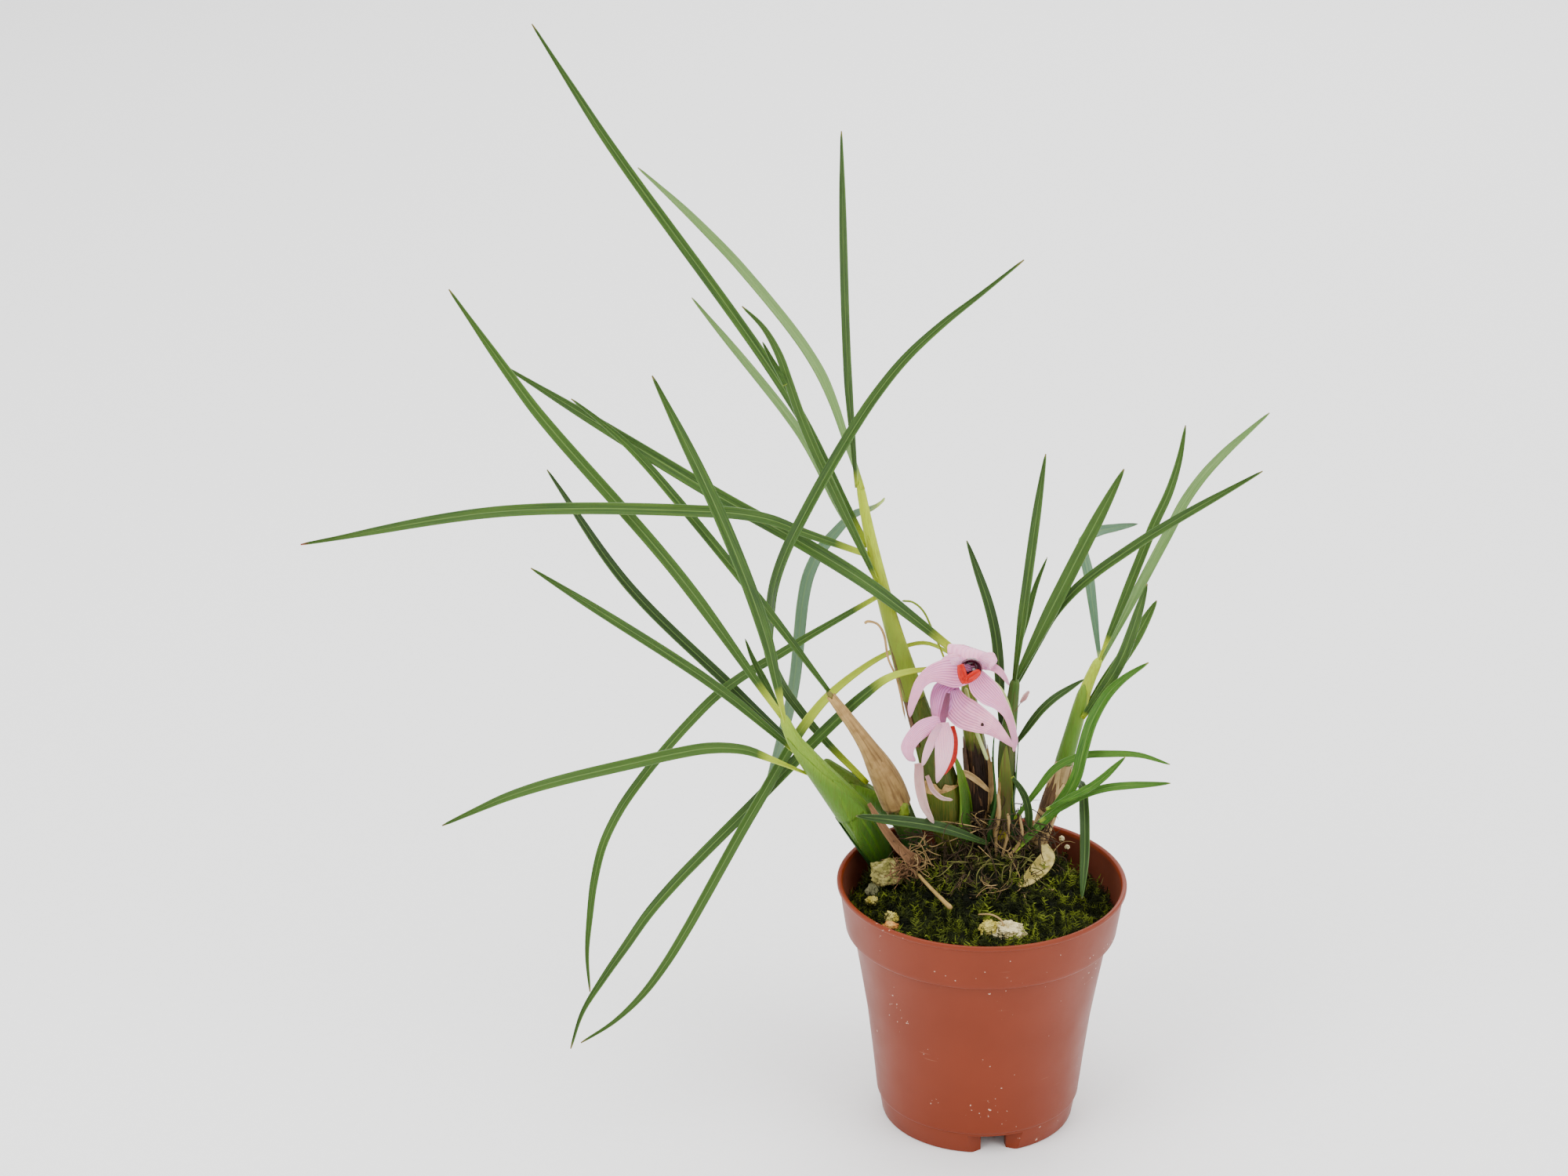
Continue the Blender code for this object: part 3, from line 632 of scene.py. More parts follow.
# Name, from and to as shares of the stem, its middle in turns to the left of the front, its
# width in turns, its finish, and then how it swells, flares, is drawn to a point and is torn.
SHEATHS = {
    "central_shoot": [
        ("central_cut_sheath", 0.02, 0.19, 0.0, 1.0, sheath_olive, 1.07, 0.02, 0.06, 0.12),
        ("central_tan_sheath_edge", 0.172, 0.208, 0.03, 0.62, paper_tan, 1.1, 0.05, 0.6, 1.1),
        ("central_green_flap", 0.02, 0.25, -0.2, 0.34, sheath_green, 1.2, 0.25, 0.85),
        ("central_dry_edge", 0.3, 0.62, 0.13, 0.07, paper_brown, 1.05, 0.05, 0.3, 0.3),
        ("central_upper_leaf_base", 0.42, 0.86, 0.05, 0.55, sheath_yellow, 1.07, 0.06, 0.6),
    ],
    "left_bulb_shoot": [
        ("left_outer_bract", 0.05, 0.6, -0.12, 0.5, sheath_green, 1.0, 0.03, 0.6),
        ("left_outer_bract_edge", 0.03, 0.4, LEFT - FRONT - 0.04, 0.26, sheath_dark, 1.06, 0, 0.8),
        ("left_inner_bract", 0.38, 0.9, 0.08, 0.45, sheath_light, 1.02, 0.06, 0.6),
    ],
    "papery_old_bulb": [
        ("papery_cut_sheath", 0.27, 0.56, 0.0, 1.0, paper_tan, 1.12, -0.02, 0.05, 0.12),
        ("papery_neck_sheath", 0.5, 0.97, 0.0, 1.0, paper_tan, 1.1, 0.3, 0.05, 0.05),
    ],
    "flowering_shoot": [
        ("brown_torn_sheath_left", 0.05, 0.52, 0.16, 0.45, paper_brown, 1.1, 0.12, 0.5, 0.4),
        ("brown_torn_sheath_right", 0.02, 0.5, -0.18, 0.3, paper_tan, 1.16, 0.2, 0.8, 0.4),
        ("brown_dark_strip", 0.02, 0.52, -0.03, 0.25, sheath_black, 1.16, 0.06, 0.5, 0.5),
    ],
    "narrow_shoot": [
        ("narrow_pointed_sheath", 0.16, 0.62, 0.02, 0.42, sheath_mottled, 1.14, 0.15, 0.85),
        ("narrow_dark_sheath", 0.05, 0.66, 0.24, 0.34, sheath_dark, 1.22, 0.5, 0.9),
        ("narrow_dark_sheath_right", 0.1, 0.62, -0.24, 0.3, sheath_dark, 1.15, 0.15, 0.6),
        ("narrow_dry_edge", 0.02, 0.4, 0.12, 0.1, paper_tan, 1.2, 0.1, 0.4, 0.4),
    ],
    "right_shoot": [
        ("right_dry_sheath", 0.02, 0.42, 0.0, 1.0, paper_pale, 1.12, 0.02, 0.12, 0.4),
        ("right_brown_patch", 0.2, 0.38, 0.1, 0.32, paper_brown, 1.16, 0.04, 0.6, 0.5),
        ("right_upper_sheath", 0.45, 0.86, 0.1, 0.7, sheath_light, 1.04, 0.03, 0.4),
    ],
    "back_left_shoot": [
        ("back_left_bract", 0.1, 0.75, 0.0, 0.6, sheath_green, 1.1, 0.12, 0.6),
    ],
}
for stem, sheaths in SHEATHS.items():
    for name, low, high, aside, *rest in sheaths:
        sheath(name, stem, low, high, FRONT + aside, *rest)
print(sum(map(len, SHEATHS.values())), "sheaths wrapped round the shoots")

# %% [markdown]
# ## The pot
#
# A nursery pot is thin polypropylene, pressed in a mould: a tapered body, a taller band under
# the lip, and a foot ring with three drainage notches. It could be turned from a profile, but
# extruding one circle again and again, widening it a little each time, is how most people model
# a pot by hand, and it keeps the wall an even thickness. The notches are cut with a Boolean.

# %% Pot shell
# Radius and height of each step, in millimetres, from the underside out, up, over the lip and in.
POT_STEPS = [
    (25.0, 7.0), (25.0, 0.3), (25.3, 0.0), (29.4, 0.0), (30.0, 0.25), (30.2, 0.8),
    (31.3, 7.4), (31.75, 7.75), (31.9, 8.1), (31.95, 8.6), (33.4, 22.0), (35.1, 36.0),
    (37.4, 50.0), (39.4, 61.5), (39.9, 63.8), (40.2, 64.1), (41.8, 64.5), (42.1, 64.8),
    (42.25, 65.2), (42.4, 66.2), (43.4, 73.0), (44.2, 78.6), (44.5, 78.9), (44.85, 79.1),
    (45.0, 79.4), (45.0, 79.9), (44.85, 80.3), (44.5, 80.5), (44.1, 80.45), (43.6, 80.2),
    (43.25, 79.6), (43.1, 79.0), (42.2, 72.5), (41.3, 67.2), (40.8, 66.4), (39.1, 65.5),
    (38.6, 64.2), (36.3, 50.0), (34.0, 36.0), (30.9, 10.4), (30.5, 9.2), (29.8, 8.1),
]
SIDES = 128
pot = add_shape(bpy.ops.mesh.primitive_circle_add, "pressed_pot", vertices=SIDES,
                radius=POT_STEPS[0][0] * MM, fill_type="TRIFAN",
                location=place(0, 0, POT_STEPS[0][1]))
bpy.ops.object.mode_set(mode="EDIT")
bpy.ops.mesh.select_mode(type="EDGE")
bpy.ops.mesh.select_all(action="SELECT")
bpy.ops.mesh.region_to_loop()
for (radius, height), (next_radius, next_height) in zip(POT_STEPS, POT_STEPS[1:]):
    lift = (0, 0, (next_height - height) * MM)
    bpy.ops.mesh.extrude_region_move(TRANSFORM_OT_translate={"value": lift})
    grow = next_radius / radius
    bpy.ops.transform.resize(value=(grow, grow, 1), center_override=place(0, 0, next_height))
bpy.ops.mesh.fill()
bpy.ops.mesh.select_all(action="SELECT")
bpy.ops.mesh.normals_make_consistent(inside=False)
bpy.ops.object.mode_set(mode="OBJECT")
print("pot shell:", len(pot.data.vertices), "points")

# %% Drainage notches
FIRST_NOTCH = 11.5
NOTCH_TOP, NOTCH_DEPTH = 6.6, 3.4
NOTCH_STEPS = [(20.5, -30.6), (8.0, -27.5), (8.0, -22.0)]     # width, and distance from the axis


def cut_notch(turn):
    """A funnel-shaped block, wide outside and narrow inside, cut out of the foot ring."""
    width, start = NOTCH_STEPS[0]
    cutter = add_shape(bpy.ops.mesh.primitive_cube_add, "notch_cutter", size=1,
                       location=(0, (start - NOTCH_DEPTH / 2) * MM, (NOTCH_TOP - 2) / 2 * MM))
    cutter.scale = (width * MM, NOTCH_DEPTH * MM, (NOTCH_TOP + 2) * MM)
    bpy.ops.object.transform_apply(location=True, rotation=False, scale=True)
    inner = max(cutter.data.polygons, key=lambda face: face.center.y).index
    bpy.ops.object.mode_set(mode="EDIT")
    bpy.ops.mesh.select_mode(type="FACE")
    bpy.ops.mesh.select_all(action="DESELECT")
    faces = bmesh.from_edit_mesh(cutter.data).faces
    faces.ensure_lookup_table()
    faces[inner].select = True
    for (width, start), (next_width, end) in zip(NOTCH_STEPS, NOTCH_STEPS[1:]):
        step = (0, (end - start) * MM, 0)
        bpy.ops.mesh.extrude_region_move(TRANSFORM_OT_translate={"value": step})
        bpy.ops.transform.resize(value=(next_width / width, 1, 1), center_override=(0, 0, 0))
    bpy.ops.object.mode_set(mode="OBJECT")
    cutter.rotation_euler = (0, 0, turn)
    cutter.location = POT_AXIS
    bpy.context.view_layer.update()
    cut = pot.modifiers.new("notch", "BOOLEAN")
    cut.object = cutter
    cut.solver = "EXACT"
    bpy.context.view_layer.objects.active = pot
    bpy.ops.object.modifier_apply(modifier=cut.name)
    bpy.data.objects.remove(cutter, do_unlink=True)


SHARP_FROM = 32            # degrees between faces that make an edge sharp
for number in range(3):
    cut_notch(math.radians(FIRST_NOTCH) + math.tau * number / 3)
bpy.ops.object.select_all(action="DESELECT")
pot.select_set(True)
bpy.context.view_layer.objects.active = pot
bpy.ops.object.transform_apply(location=True, rotation=True, scale=True)
bpy.ops.object.shade_smooth_by_angle(angle=math.radians(SHARP_FROM))


def inside_share(point):
    """1 on the inner side of the pot's wall, 0 on its outer side."""
    radius = math.hypot(point.x - POT_AXIS.x, point.y - POT_AXIS.y) / MM
    height = point.z / MM
    outer = np.interp(height, [8.0, 36.0, 50.0, 64.3, 65.0, 79.0],
                      [31.9, 35.1, 37.4, 39.9, 42.2, 44.3])
    return 1.0 if 7.5 < height < 79.4 and radius < outer - 0.7 else 0.0


mark(pot, "inside", [inside_share(vert.co) for vert in pot.data.vertices])
print("pot with 3 notches:", len(pot.data.polygons), "faces")

# %% Pot finish
# Pressed terracotta-coloured polypropylene: a soft satin sheen with no clear coat, a little
# light through the thin wall, faint mould mottling, pale scuffs and specks of hard water, and a
# darker inner wall, which is partly the plastic's deeper colour and partly painted shade.
pot_plastic, tree, place_on = start_material(
    "pressed_polypropylene", roughness=0.42, ior=1.49, subsurface_weight=0.08,
    subsurface_scale=3 * MM, specular_ior_level=0.22)
inside = node(tree, "Attribute", {}, 2, attribute_name="inside")
height = node(tree, "SeparateXYZ", {0: place_on}, 2)
mottle = node(tree, "TexNoise", {"Vector": place_on, "Scale": 55.0, "Detail": 4.0})
specks = node(tree, "TexNoise", {"Vector": place_on, "Scale": 900.0, "Detail": 1.0})
patches = node(tree, "TexNoise", {"Vector": place_on, "Scale": 70.0, "Detail": 1.0})
# Most specks lie about the step under the band, where water dries.
low_band = node(tree, "MapRange", {0: height, 1: 58 * MM, 2: 65 * MM})
high_band = node(tree, "MapRange", {0: height, 1: 75 * MM, 2: 69 * MM})
near_band = node(tree, "Math", {0: low_band, 1: high_band}, operation="MULTIPLY")
allowed = node(tree, "Math", {0: near_band, 1: 0.08, 2: patches}, operation="MULTIPLY_ADD")
speck_level = node(tree, "Math", {0: allowed, 1: 0.35, 2: specks}, operation="MULTIPLY_ADD")
# Scratches lie mostly round the pot and are about 0.15 mm wide.
drawn = node(tree, "Mapping", {"Vector": place_on, "Rotation": (0.2, 0.35, 0),
                               "Scale": (60, 60, 2400)})
scratches = node(tree, "TexNoise", {"Vector": drawn, "Scale": 1.0, "Detail": 2.0})
scratched = node(tree, "Math", {0: patches, 1: 0.6, 2: scratches}, operation="MULTIPLY_ADD")
rough = node(tree, "MapRange", {0: mottle, 1: 0.3, 2: 0.7, 3: 0.36, 4: 0.50})
paint(tree, "#70290D", [
    (mottle, 0.35, 0.7, 0.5, "#67250B"), (speck_level, 0.965, 0.995, 0.65, "#DDBBA8"),
    # The darker inner wall is partly the plastic's deeper colour and partly painted shade.
    (scratched, 1.1, 1.16, 0.3, "#B47A62"), (inside, "#5C2E20")], mottle, 0.06, rough)
finish_mesh(pot, pot_plastic, ["pot"], "pot_plastic")
print("pot finished")

# %% Growing medium
# Fine bark and fibre, nearly all hidden under the moss, so the CAD solid keeps its own shape.
medium_material, tree, place_on = start_material("bark_and_fibre_mix", roughness=0.95)
crumbs = node(tree, "TexVoronoi", {"Vector": place_on, "Scale": 420.0})
paint(tree, "#2A1D12", [(crumbs, 0.1, 0.7, "#5A4028")], crumbs, 0.6)
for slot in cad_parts["growing_medium"].material_slots:
    slot.material = medium_material

# %% [markdown]
# ## Moss
#
# The top of the pot is a cushion of feathery moss. The cushion is a grid rolled into a disc,
# made lumpy with noise and coloured near-black as painted shade in the gaps; on it stand
# thousands of sprigs. A sprig is a bent stem with a few narrow leaves, modelled once from small
# cones in three versions, and then repeated with a random turn, lean and size. Scattering real
# sprigs gives the ragged, dark-gapped look that no bump can, and a sprig of a few dozen faces
# keeps the whole mat light.

# %% Moss materials


def moss_material(name, deep, mid, fresh):
    """Living moss, matt: black-green in gaps, partly painted shade, to yellow-green at tips."""
    made, tree, place_on = start_material(name, roughness=0.8, specular_ior_level=0.12)
    tone = node(tree, "Attribute", {}, 2, attribute_name="tone")
    patches = node(tree, "TexNoise", {"Vector": place_on, "Scale": 110.0, "Detail": 3.0})
    mixed = node(tree, "Math", {0: patches, 1: 0.9, 2: tone}, operation="MULTIPLY_ADD")
    paint(tree, deep, [(mixed, 0.55, 1.0, mid), (mixed, 1.05, 1.4, fresh)], patches, 0.4)
    return made


# The cushion is near-black: painted shade in the gaps between the sprigs.
moss_mat_finish = moss_material("moss_cushion_painted_shade", "#0B0D06", "#171A09", "#262B0E")
moss_sprig_finish = moss_material("feathery_moss", "#0B0E05", "#202608", "#5C661A")

# %% Moss cushion
form = bmesh.new()
form.from_mesh(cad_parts["moss_mat"].data)
cad_moss = BVHTree.FromBMesh(form)
form.free()
moss_low, moss_high = (Vector(corner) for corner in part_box("moss_mat"))
MOSS_RADIUS = (moss_high.x - moss_low.x) / 2 / MM
SHOOT_FEET = [((rows[0][0] - POT_AXIS.x) / MM, (rows[0][1] - POT_AXIS.y) / MM)
              for rows in spines.values()]
SUNKEN_TO = 68.5                   # the moss has settled to here along the wall
SUNK_FROM, SUNK_OVER = 25, 13      # from this far out, over this distance
HEAP_AT, HEAP_OVER = 3, 9.0        # but it stays heaped close to a shoot
FRONT_AT, FRONT_OVER = -26, 16     # and in front
LOWEST_TOP = 68.2
TOP_SHARE = 0.88                   # the rest of the grid is the side and the underside


def settled(x, y):
    """How far the moss has gone towards its lowest, from 0 in the middle to 1 at the wall."""
    near = min(math.hypot(x - foot_x, y - foot_y) for foot_x, foot_y in SHOOT_FEET)
    heaped = min(1.0, max(0.0, (near - HEAP_AT) / HEAP_OVER))
    at_side = min(1.0, max(0.0, (y - FRONT_AT) / FRONT_OVER))
    return eased((math.hypot(x, y) - SUNK_FROM) / SUNK_OVER) * heaped * at_side


def ground(x, y):
    """The height of the moss at a place, in millimetres: the CAD moss, sunk along the wall."""
    reach = math.hypot(x, y)
    inner = min(1.0, (MOSS_RADIUS - 0.4) / max(reach, 0.01))
    start = place(x * inner, y * inner, 200)
    point = cad_moss.ray_cast(start, Vector((0, 0, -1)))[0]
    return point.z / MM - max(0.0, point.z / MM - SUNKEN_TO) * settled(x, y)


def lumps(x, y):
    """Hummocks a few millimetres across on the moss."""
    return (2.6 * noise.noise((x * 0.12, y * 0.12, 4.0))
            + 2.2 * noise.noise((x * 0.31, y * 0.31, 9.0)))


def moss_shape(u, v):
    """The cushion's top from its middle to its edge, then its side and its flat underside."""
    angle = math.tau * u
    if v > TOP_SHARE:
        radius = MOSS_RADIUS * max(0.0, (1 - v) / (1 - TOP_SHARE)) * 0.99
        return place(radius * math.cos(angle), radius * math.sin(angle), moss_low.z / MM + 0.2)
    radius = (MOSS_RADIUS + 0.3) * v / TOP_SHARE
    x, y = radius * math.cos(angle), radius * math.sin(angle)
    uneven = lumps(x, y) * (1 - (v / TOP_SHARE) ** 6)
    return place(x, y, max(LOWEST_TOP, ground(x, y) + uneven - 0.6))


moss = shaped_grid("moss_cushion", 120, 60, moss_shape, closed=True, tone=0.2)
finish_mesh(moss, moss_mat_finish, ["moss_mat"], "moss")
print("moss cushion radius", round(MOSS_RADIUS, 1), "mm")

# %% Moss sprigs


def add_cone(base, tip, width):
    """A thin three-sided cone between two points in millimetres, closed underneath."""
    along = Vector(tip) - Vector(base)
    bpy.ops.mesh.primitive_cone_add(vertices=3, radius1=width, depth=along.length,
                                    location=(Vector(base) + Vector(tip)) / 2,
                                    rotation=along.to_track_quat("Z", "Y").to_euler())
    return bpy.context.object


def make_sprig(seed, leaves, height, spread):
    """One sprig in millimetres: a leaning stem with narrow leaves along two sides."""
    draw = random.Random(seed)
    lean = (draw.uniform(-0.8, 0.8), draw.uniform(-0.8, 0.8), height)
    parts = [add_cone((0, 0, -0.8), lean, 0.16)]
    for leaf in range(leaves):
        share = 0.15 + 0.8 * leaf / leaves
        foot = Vector(lean) * share
        turn = math.pi * leaf + draw.uniform(-0.7, 0.7)
        out = Vector((math.cos(turn), math.sin(turn), draw.uniform(0.1, 0.8)))
        parts.append(add_cone(foot, foot + out * spread * (1.15 - 0.6 * share), 0.17))
    sprig = join(parts)
    bpy.ops.object.transform_apply(location=True, rotation=True, scale=True)
    triangles = []
    for face in sprig.data.polygons:
        corners = list(face.vertices)
        triangles += [(corners[0], *pair) for pair in zip(corners[1:], corners[2:])]
    points = np.array([vert.co[:] for vert in sprig.data.vertices])
    bpy.data.objects.remove(sprig, do_unlink=True)
    return points, np.array(triangles)


sprigs = [make_sprig(1, 8, 3.4, 1.5), make_sprig(2, 10, 4.4, 1.3), make_sprig(3, 7, 2.6, 1.9)]
print("sprigs of", [len(faces) for _, faces in sprigs], "triangles")

# %% Scatter the sprigs
LEAN = 0.45                                  # radians, as a usual lean
WALL_HEIGHTS = [66, 67.2, 72.5, 79]          # the inside of the pot's band, from its profile
WALL_RADII = [40.8, 41.3, 42.2, 43.1]


def scatter(name, count, seed, inner, outer, size, tones):
    """Many turned, leaned and sized copies of the sprigs on the moss, as one mesh."""
    draw = random.Random(seed)
    points, faces, shades, used = [], [], [], 0
    for number in range(count):
        base, triangles = sprigs[number % len(sprigs)]
        radius = math.sqrt(draw.uniform((inner / outer) ** 2, 1)) * outer
        angle = draw.uniform(0, math.tau)
        x, y = radius * math.cos(angle), radius * math.sin(angle)
        # Most sprigs are left out under the shoots, so the near-black cushion shows there as
        # painted shade among the dark roots.
        if draw.random() < 0.85 * math.exp(-((x - 2) / 13) ** 2 - ((y - 12) / 8) ** 2):
            continue      # few sprigs stand among the dark roots under the shoots
        scale = draw.uniform(*size)
        lean = (draw.gauss(0, LEAN), draw.gauss(0, LEAN), draw.uniform(0, math.tau))
        turn_x, turn_y, turn_z = (Matrix.Rotation(a, 3, axis) for a, axis in zip(lean, "XYZ"))
        placed = base @ np.array(turn_x @ turn_y @ turn_z).T * scale
        placed += np.array((x, y, ground(x, y) + lumps(x, y) - 0.9))
        reach = np.hypot(placed[:, 0], placed[:, 1])
        wall = np.interp(placed[:, 2], WALL_HEIGHTS, WALL_RADII) - 0.15
        placed[:, :2] *= np.minimum(1, wall / np.maximum(reach, 0.01))[:, None]
        points.append(placed)
        faces.append(triangles + used)
        shades += [draw.uniform(*tones)] * len(base)
        used += len(base)
    mesh = bpy.data.meshes.new(name)
    mesh.from_pydata((np.concatenate(points) * MM + np.array(POT_AXIS)).tolist(), [],
                     np.concatenate(faces).tolist())
    piece = bpy.data.objects.new(name, mesh)
    bpy.context.collection.objects.link(piece)
    mark(piece, "tone", shades)
    finish_mesh(piece, moss_sprig_finish, slot="moss")


scatter("moss_sprigs_low", 3600, 11, 0, 41.0, (0.5, 0.95), (0.0, 0.45))
scatter("moss_sprigs_tall", 1900, 12, 4, 40.6, (0.8, 1.25), (0.15, 0.9))
scatter("moss_sprigs_edge", 1100, 13, 30, 41.2, (0.6, 1.1), (0.2, 1.0))
scatter("moss_sprigs_bold", 420, 14, 6, 40.4, (1.3, 1.9), (0.35, 1.05))
print("sprigs scattered on the moss")

# %% [markdown]
# ## Stones, bark and dead matter
#
# A real pot is never tidy: a lichened chunk of bark at the left, a white stone in front, a dry
# flake, a straw, pebbles and a tuft of fibre. The lumps start as a round primitive, and are
# pushed in and out by noise into a broken shape; the fibres and roots are thin tubes.

# %% Materials of the lumps and dead matter


def crumbly_material(name, base, patch, deep, grain_mm):
    """Stone or bark: matt, with patches of lichen and pits about a grain apart."""
    made, tree, place_on = start_material(name, roughness=0.95, specular_ior_level=0.2)
    patches = node(tree, "TexNoise", {"Vector": place_on, "Scale": 350.0, "Detail": 5.0})
    grains = node(tree, "TexVoronoi", {"Vector": place_on, "Scale": 1 / (grain_mm * MM)})
    paint(tree, base, [(patches, 0.42, 0.6, patch), (grains, 0.35, 0.0, 0.6, deep)], grains, 0.5)
    return made


lichened_bark = crumbly_material("lichened_bark", "#A0965A", "#6A6630", "#332F18", 0.9)
limestone = crumbly_material("white_limestone", "#D6C898", "#AC9C68", "#70643C", 0.7)
yellow_lump_finish = crumbly_material("yellow_lichen", "#A89A3C", "#C8BA66", "#5E5828", 0.6)
dull_pebble = crumbly_material("dull_pebble", "#8E8C68", "#70704C", "#4A4A30", 0.8)
orange_lump_finish = crumbly_material("orange_lichen", "#B8783A", "#CFA055", "#6E4422", 0.6)
root_tan = papery_material("dry_aerial_root", "#A88C5C", "#7A6238", "#574224")
root_dark = papery_material("wiry_dark_root", "#3A2C1C", "#241A10", "#5C4630", 0.85)
root_olive = papery_material("olive_living_root", "#6E6C34", "#4A4A20", "#2E2E14", 0.8)

# %% Lumps


def lump(name, centre, half_sizes, roughness_mm, material, seed, detail=4, slot="stone",
         node_names=()):
    """A broken lump: a round primitive at its size and place, pushed in and out by noise."""
    piece = add_shape(bpy.ops.mesh.primitive_ico_sphere_add, name, subdivisions=detail, radius=1,
                      location=(0, 0, 0))
    mark(piece, "tone", [0.5] * len(piece.data.vertices))
    for vert in piece.data.vertices:
        way = vert.co.normalized()
        coarse = noise.noise(way * 1.6 + Vector((seed, 0, 0)))
        fine = noise.noise(way * 5 + Vector((0, seed, 0)))
        push = 1 + 0.35 * coarse + roughness_mm / max(half_sizes) * fine
        vert.co = place(*(c + h * w * push for c, h, w in zip(centre, half_sizes, way)))
    bpy.ops.object.shade_smooth()
    finish_mesh(piece, material, node_names, slot)


def node_centre(name):
    """The middle of a CAD node and half its size, in millimetres from the pot's axis."""
    low, high = (Vector(corner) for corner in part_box(name))
    middle = ((low + high) / 2 - POT_AXIS) / MM
    return tuple(middle), tuple((high - low) / 2 / MM)


STONE_SETTLED = 1.6       # the stone is pressed this far into the moss
bark_centre, bark_half = node_centre("lichened_bark_chunk")
(stone_x, stone_y, stone_z), stone_half = node_centre("white_stone")
# Name, centre, half sizes, roughness, finish, seed, and then how finely it is divided, its slot
# and the node that it stands for.
LUMPS = [
    ("lichened_bark", bark_centre, bark_half, 1.1, lichened_bark, 3.0, 5, "bark",
     ["lichened_bark_chunk"]),
    ("front_limestone", (stone_x + 0.5, stone_y, stone_z - STONE_SETTLED), stone_half, 1.2,
     limestone, 7.0, 5, "stone", ["white_stone"]),
    ("front_yellow_lump", (3.0, -27, 77.6), (3.0, 2.2, 2.4), 1.0, yellow_lump_finish, 2.0, 5),
    ("left_pale_pebble", (-33.7, 9.0, 70.6), (2.4, 2.0, 2.2), 0.3, dull_pebble, 5.0),
    ("left_yellow_crumb", (-27.5, -16, 74.6), (2.0, 1.5, 1.8), 0.9, yellow_lump_finish, 9.0),
    ("left_orange_crumb", (-27.6, -24.4, 76.0), (2.2, 1.4, 1.2), 0.6, orange_lump_finish, 4.0),
    ("left_small_crumb", (-34, 0, 71.6), (2.0, 1.6, 1.4), 0.9, yellow_lump_finish, 8.0),
    ("bead_upper", (25.0, 29, 80.4), (0.9, 0.9, 0.9), 0.05, limestone, 1.0, 3),
    ("bead_lower", (26.8, 28, 78.0), (0.8, 0.8, 0.8), 0.05, limestone, 2.0, 3),
]
for row in LUMPS:
    lump(*row)
print(len(LUMPS), "stones, crumbs and beads placed")

# %% Roots, straws and fibres


def strand(name, points, material, sides=8, along=28, node_names=()):
    """A thin root or fibre along points of (x, y, z, radius) in millimetres."""
    rows = strand_rows(points)

    def shape(u, v):
        bump = 1 + 0.12 * noise.noise((u * 3, v * 14, len(points)))
        return on_stem(rows, u + BACK, v, round_end(v, 0.05) * bump)

    piece = shaped_grid(name, sides, along, shape, closed=True)
    finish_mesh(piece, material, node_names, "dry_sheath")


# Name, finish, and points of (x, y, z, radius).
STRANDS = [
    ("root_between_shoots", root_tan, [(4.4, 15, 103, 0.5), (5.0, 14, 96, 0.6),
     (4.2, 14, 88, 0.55), (4.4, 13, 80, 0.5), (3.0, 11, 74, 0.4)]),
    ("root_wavy", root_tan, [(7.6, 13, 97, 0.5), (8.2, 12, 92, 0.55), (7.0, 12, 86, 0.5),
     (5.6, 11, 80, 0.5), (4.0, 8, 75, 0.4)]),
    ("root_right_bend", root_tan, [(11.4, 13, 96, 0.45), (12.2, 12, 90, 0.5), (10.4, 12, 85, 0.5),
     (7.6, 11, 82, 0.45), (6.0, 10, 76, 0.4)]),
    ("root_front_curl", root_tan, [(-1.0, -22, 79.5, 0.25), (3.0, -25, 81.2, 0.3),
     (6.0, -27, 80.6, 0.3), (7.0, -28, 79.0, 0.3)]),
    ("seta_at_back", root_tan, [(40.0, 18, 76.5, 0.12), (38.6, 18, 73.5, 0.14),
     (37.4, 18, 69.5, 0.15)]),
    ("dry_strip_curled", paper_tan, [(-37.6, 13, 160.2, 0.5), (-36.4, 13, 161.0, 0.45),
     (-33.4, 13, 160, 0.4), (-31.4, 13, 156, 0.4), (-30.2, 13, 148.7, 0.35),
     (-27.2, 13, 141, 0.35), (-24.6, 12.6, 128, 0.3)]),
    ("pale_arching_stalk", sheath_yellow, [(-26.6, 22, 164.2, 0.35), (-23, 22, 163.8, 0.35),
     (-19.6, 22, 160.6, 0.35), (-16.8, 22, 154.3, 0.35), (-14.2, 22, 148, 0.35),
     (-11.5, 22, 141, 0.35)]),
]
for name, finish, points in STRANDS:
    strand(name, points, finish)
straw_rows = stem_spine("dry_straw_stalk", 6)
straw_points = [(*((Vector(row[:3]) - POT_AXIS) / MM), row[3] / MM) for row in straw_rows]
if straw_points[0][2] < straw_points[-1][2]:
    straw_points.reverse()
strand("dry_straw", straw_points, straw_finish, 12, 40, ["dry_straw_stalk"])

# %% Fibre clumps


def fibre_clump(name, count, seed, centre, spread, length, material, radius=0.16, droop=0.6):
    """A tangle of short curved fibres round a place, joined into one piece."""
    draw = random.Random(seed)
    made = []
    for number in range(count):
        x, y, z = (c + draw.uniform(-s, s) for c, s in zip(centre, spread))
        heading = Vector((draw.gauss(0, 1), draw.gauss(0, 1), draw.gauss(-droop, 0.6))).normalized()
        bend = Vector((draw.gauss(0, 1), draw.gauss(0, 1), draw.gauss(0, 0.8))).normalized()
        reach = draw.uniform(*length)
        points = []
        for step in range(5):
            share = step / 4
            bow = bend * reach * 0.35 * math.sin(math.pi * share)
            spot = Vector((x, y, z)) + heading * reach * share + bow
            floor_here = ground(spot.x, spot.y) - 0.5
            inward = min(1.0, 40.5 / max(math.hypot(spot.x, spot.y), 0.01))
            points.append((spot.x * inward, spot.y * inward, max(spot.z, floor_here),
                           radius * (1 - 0.6 * share)))
        rows = strand_rows(points)
        made.append(shaped_grid(f"{name}_{number}", 4, 9, lambda u, v: on_stem(
            rows, u, v, 0.0 if v in (0.0, 1.0) else 1.0), closed=True))
    piece = join(made)
    piece.name = piece.data.name = name
    finish_mesh(piece, material, slot="dry_sheath")


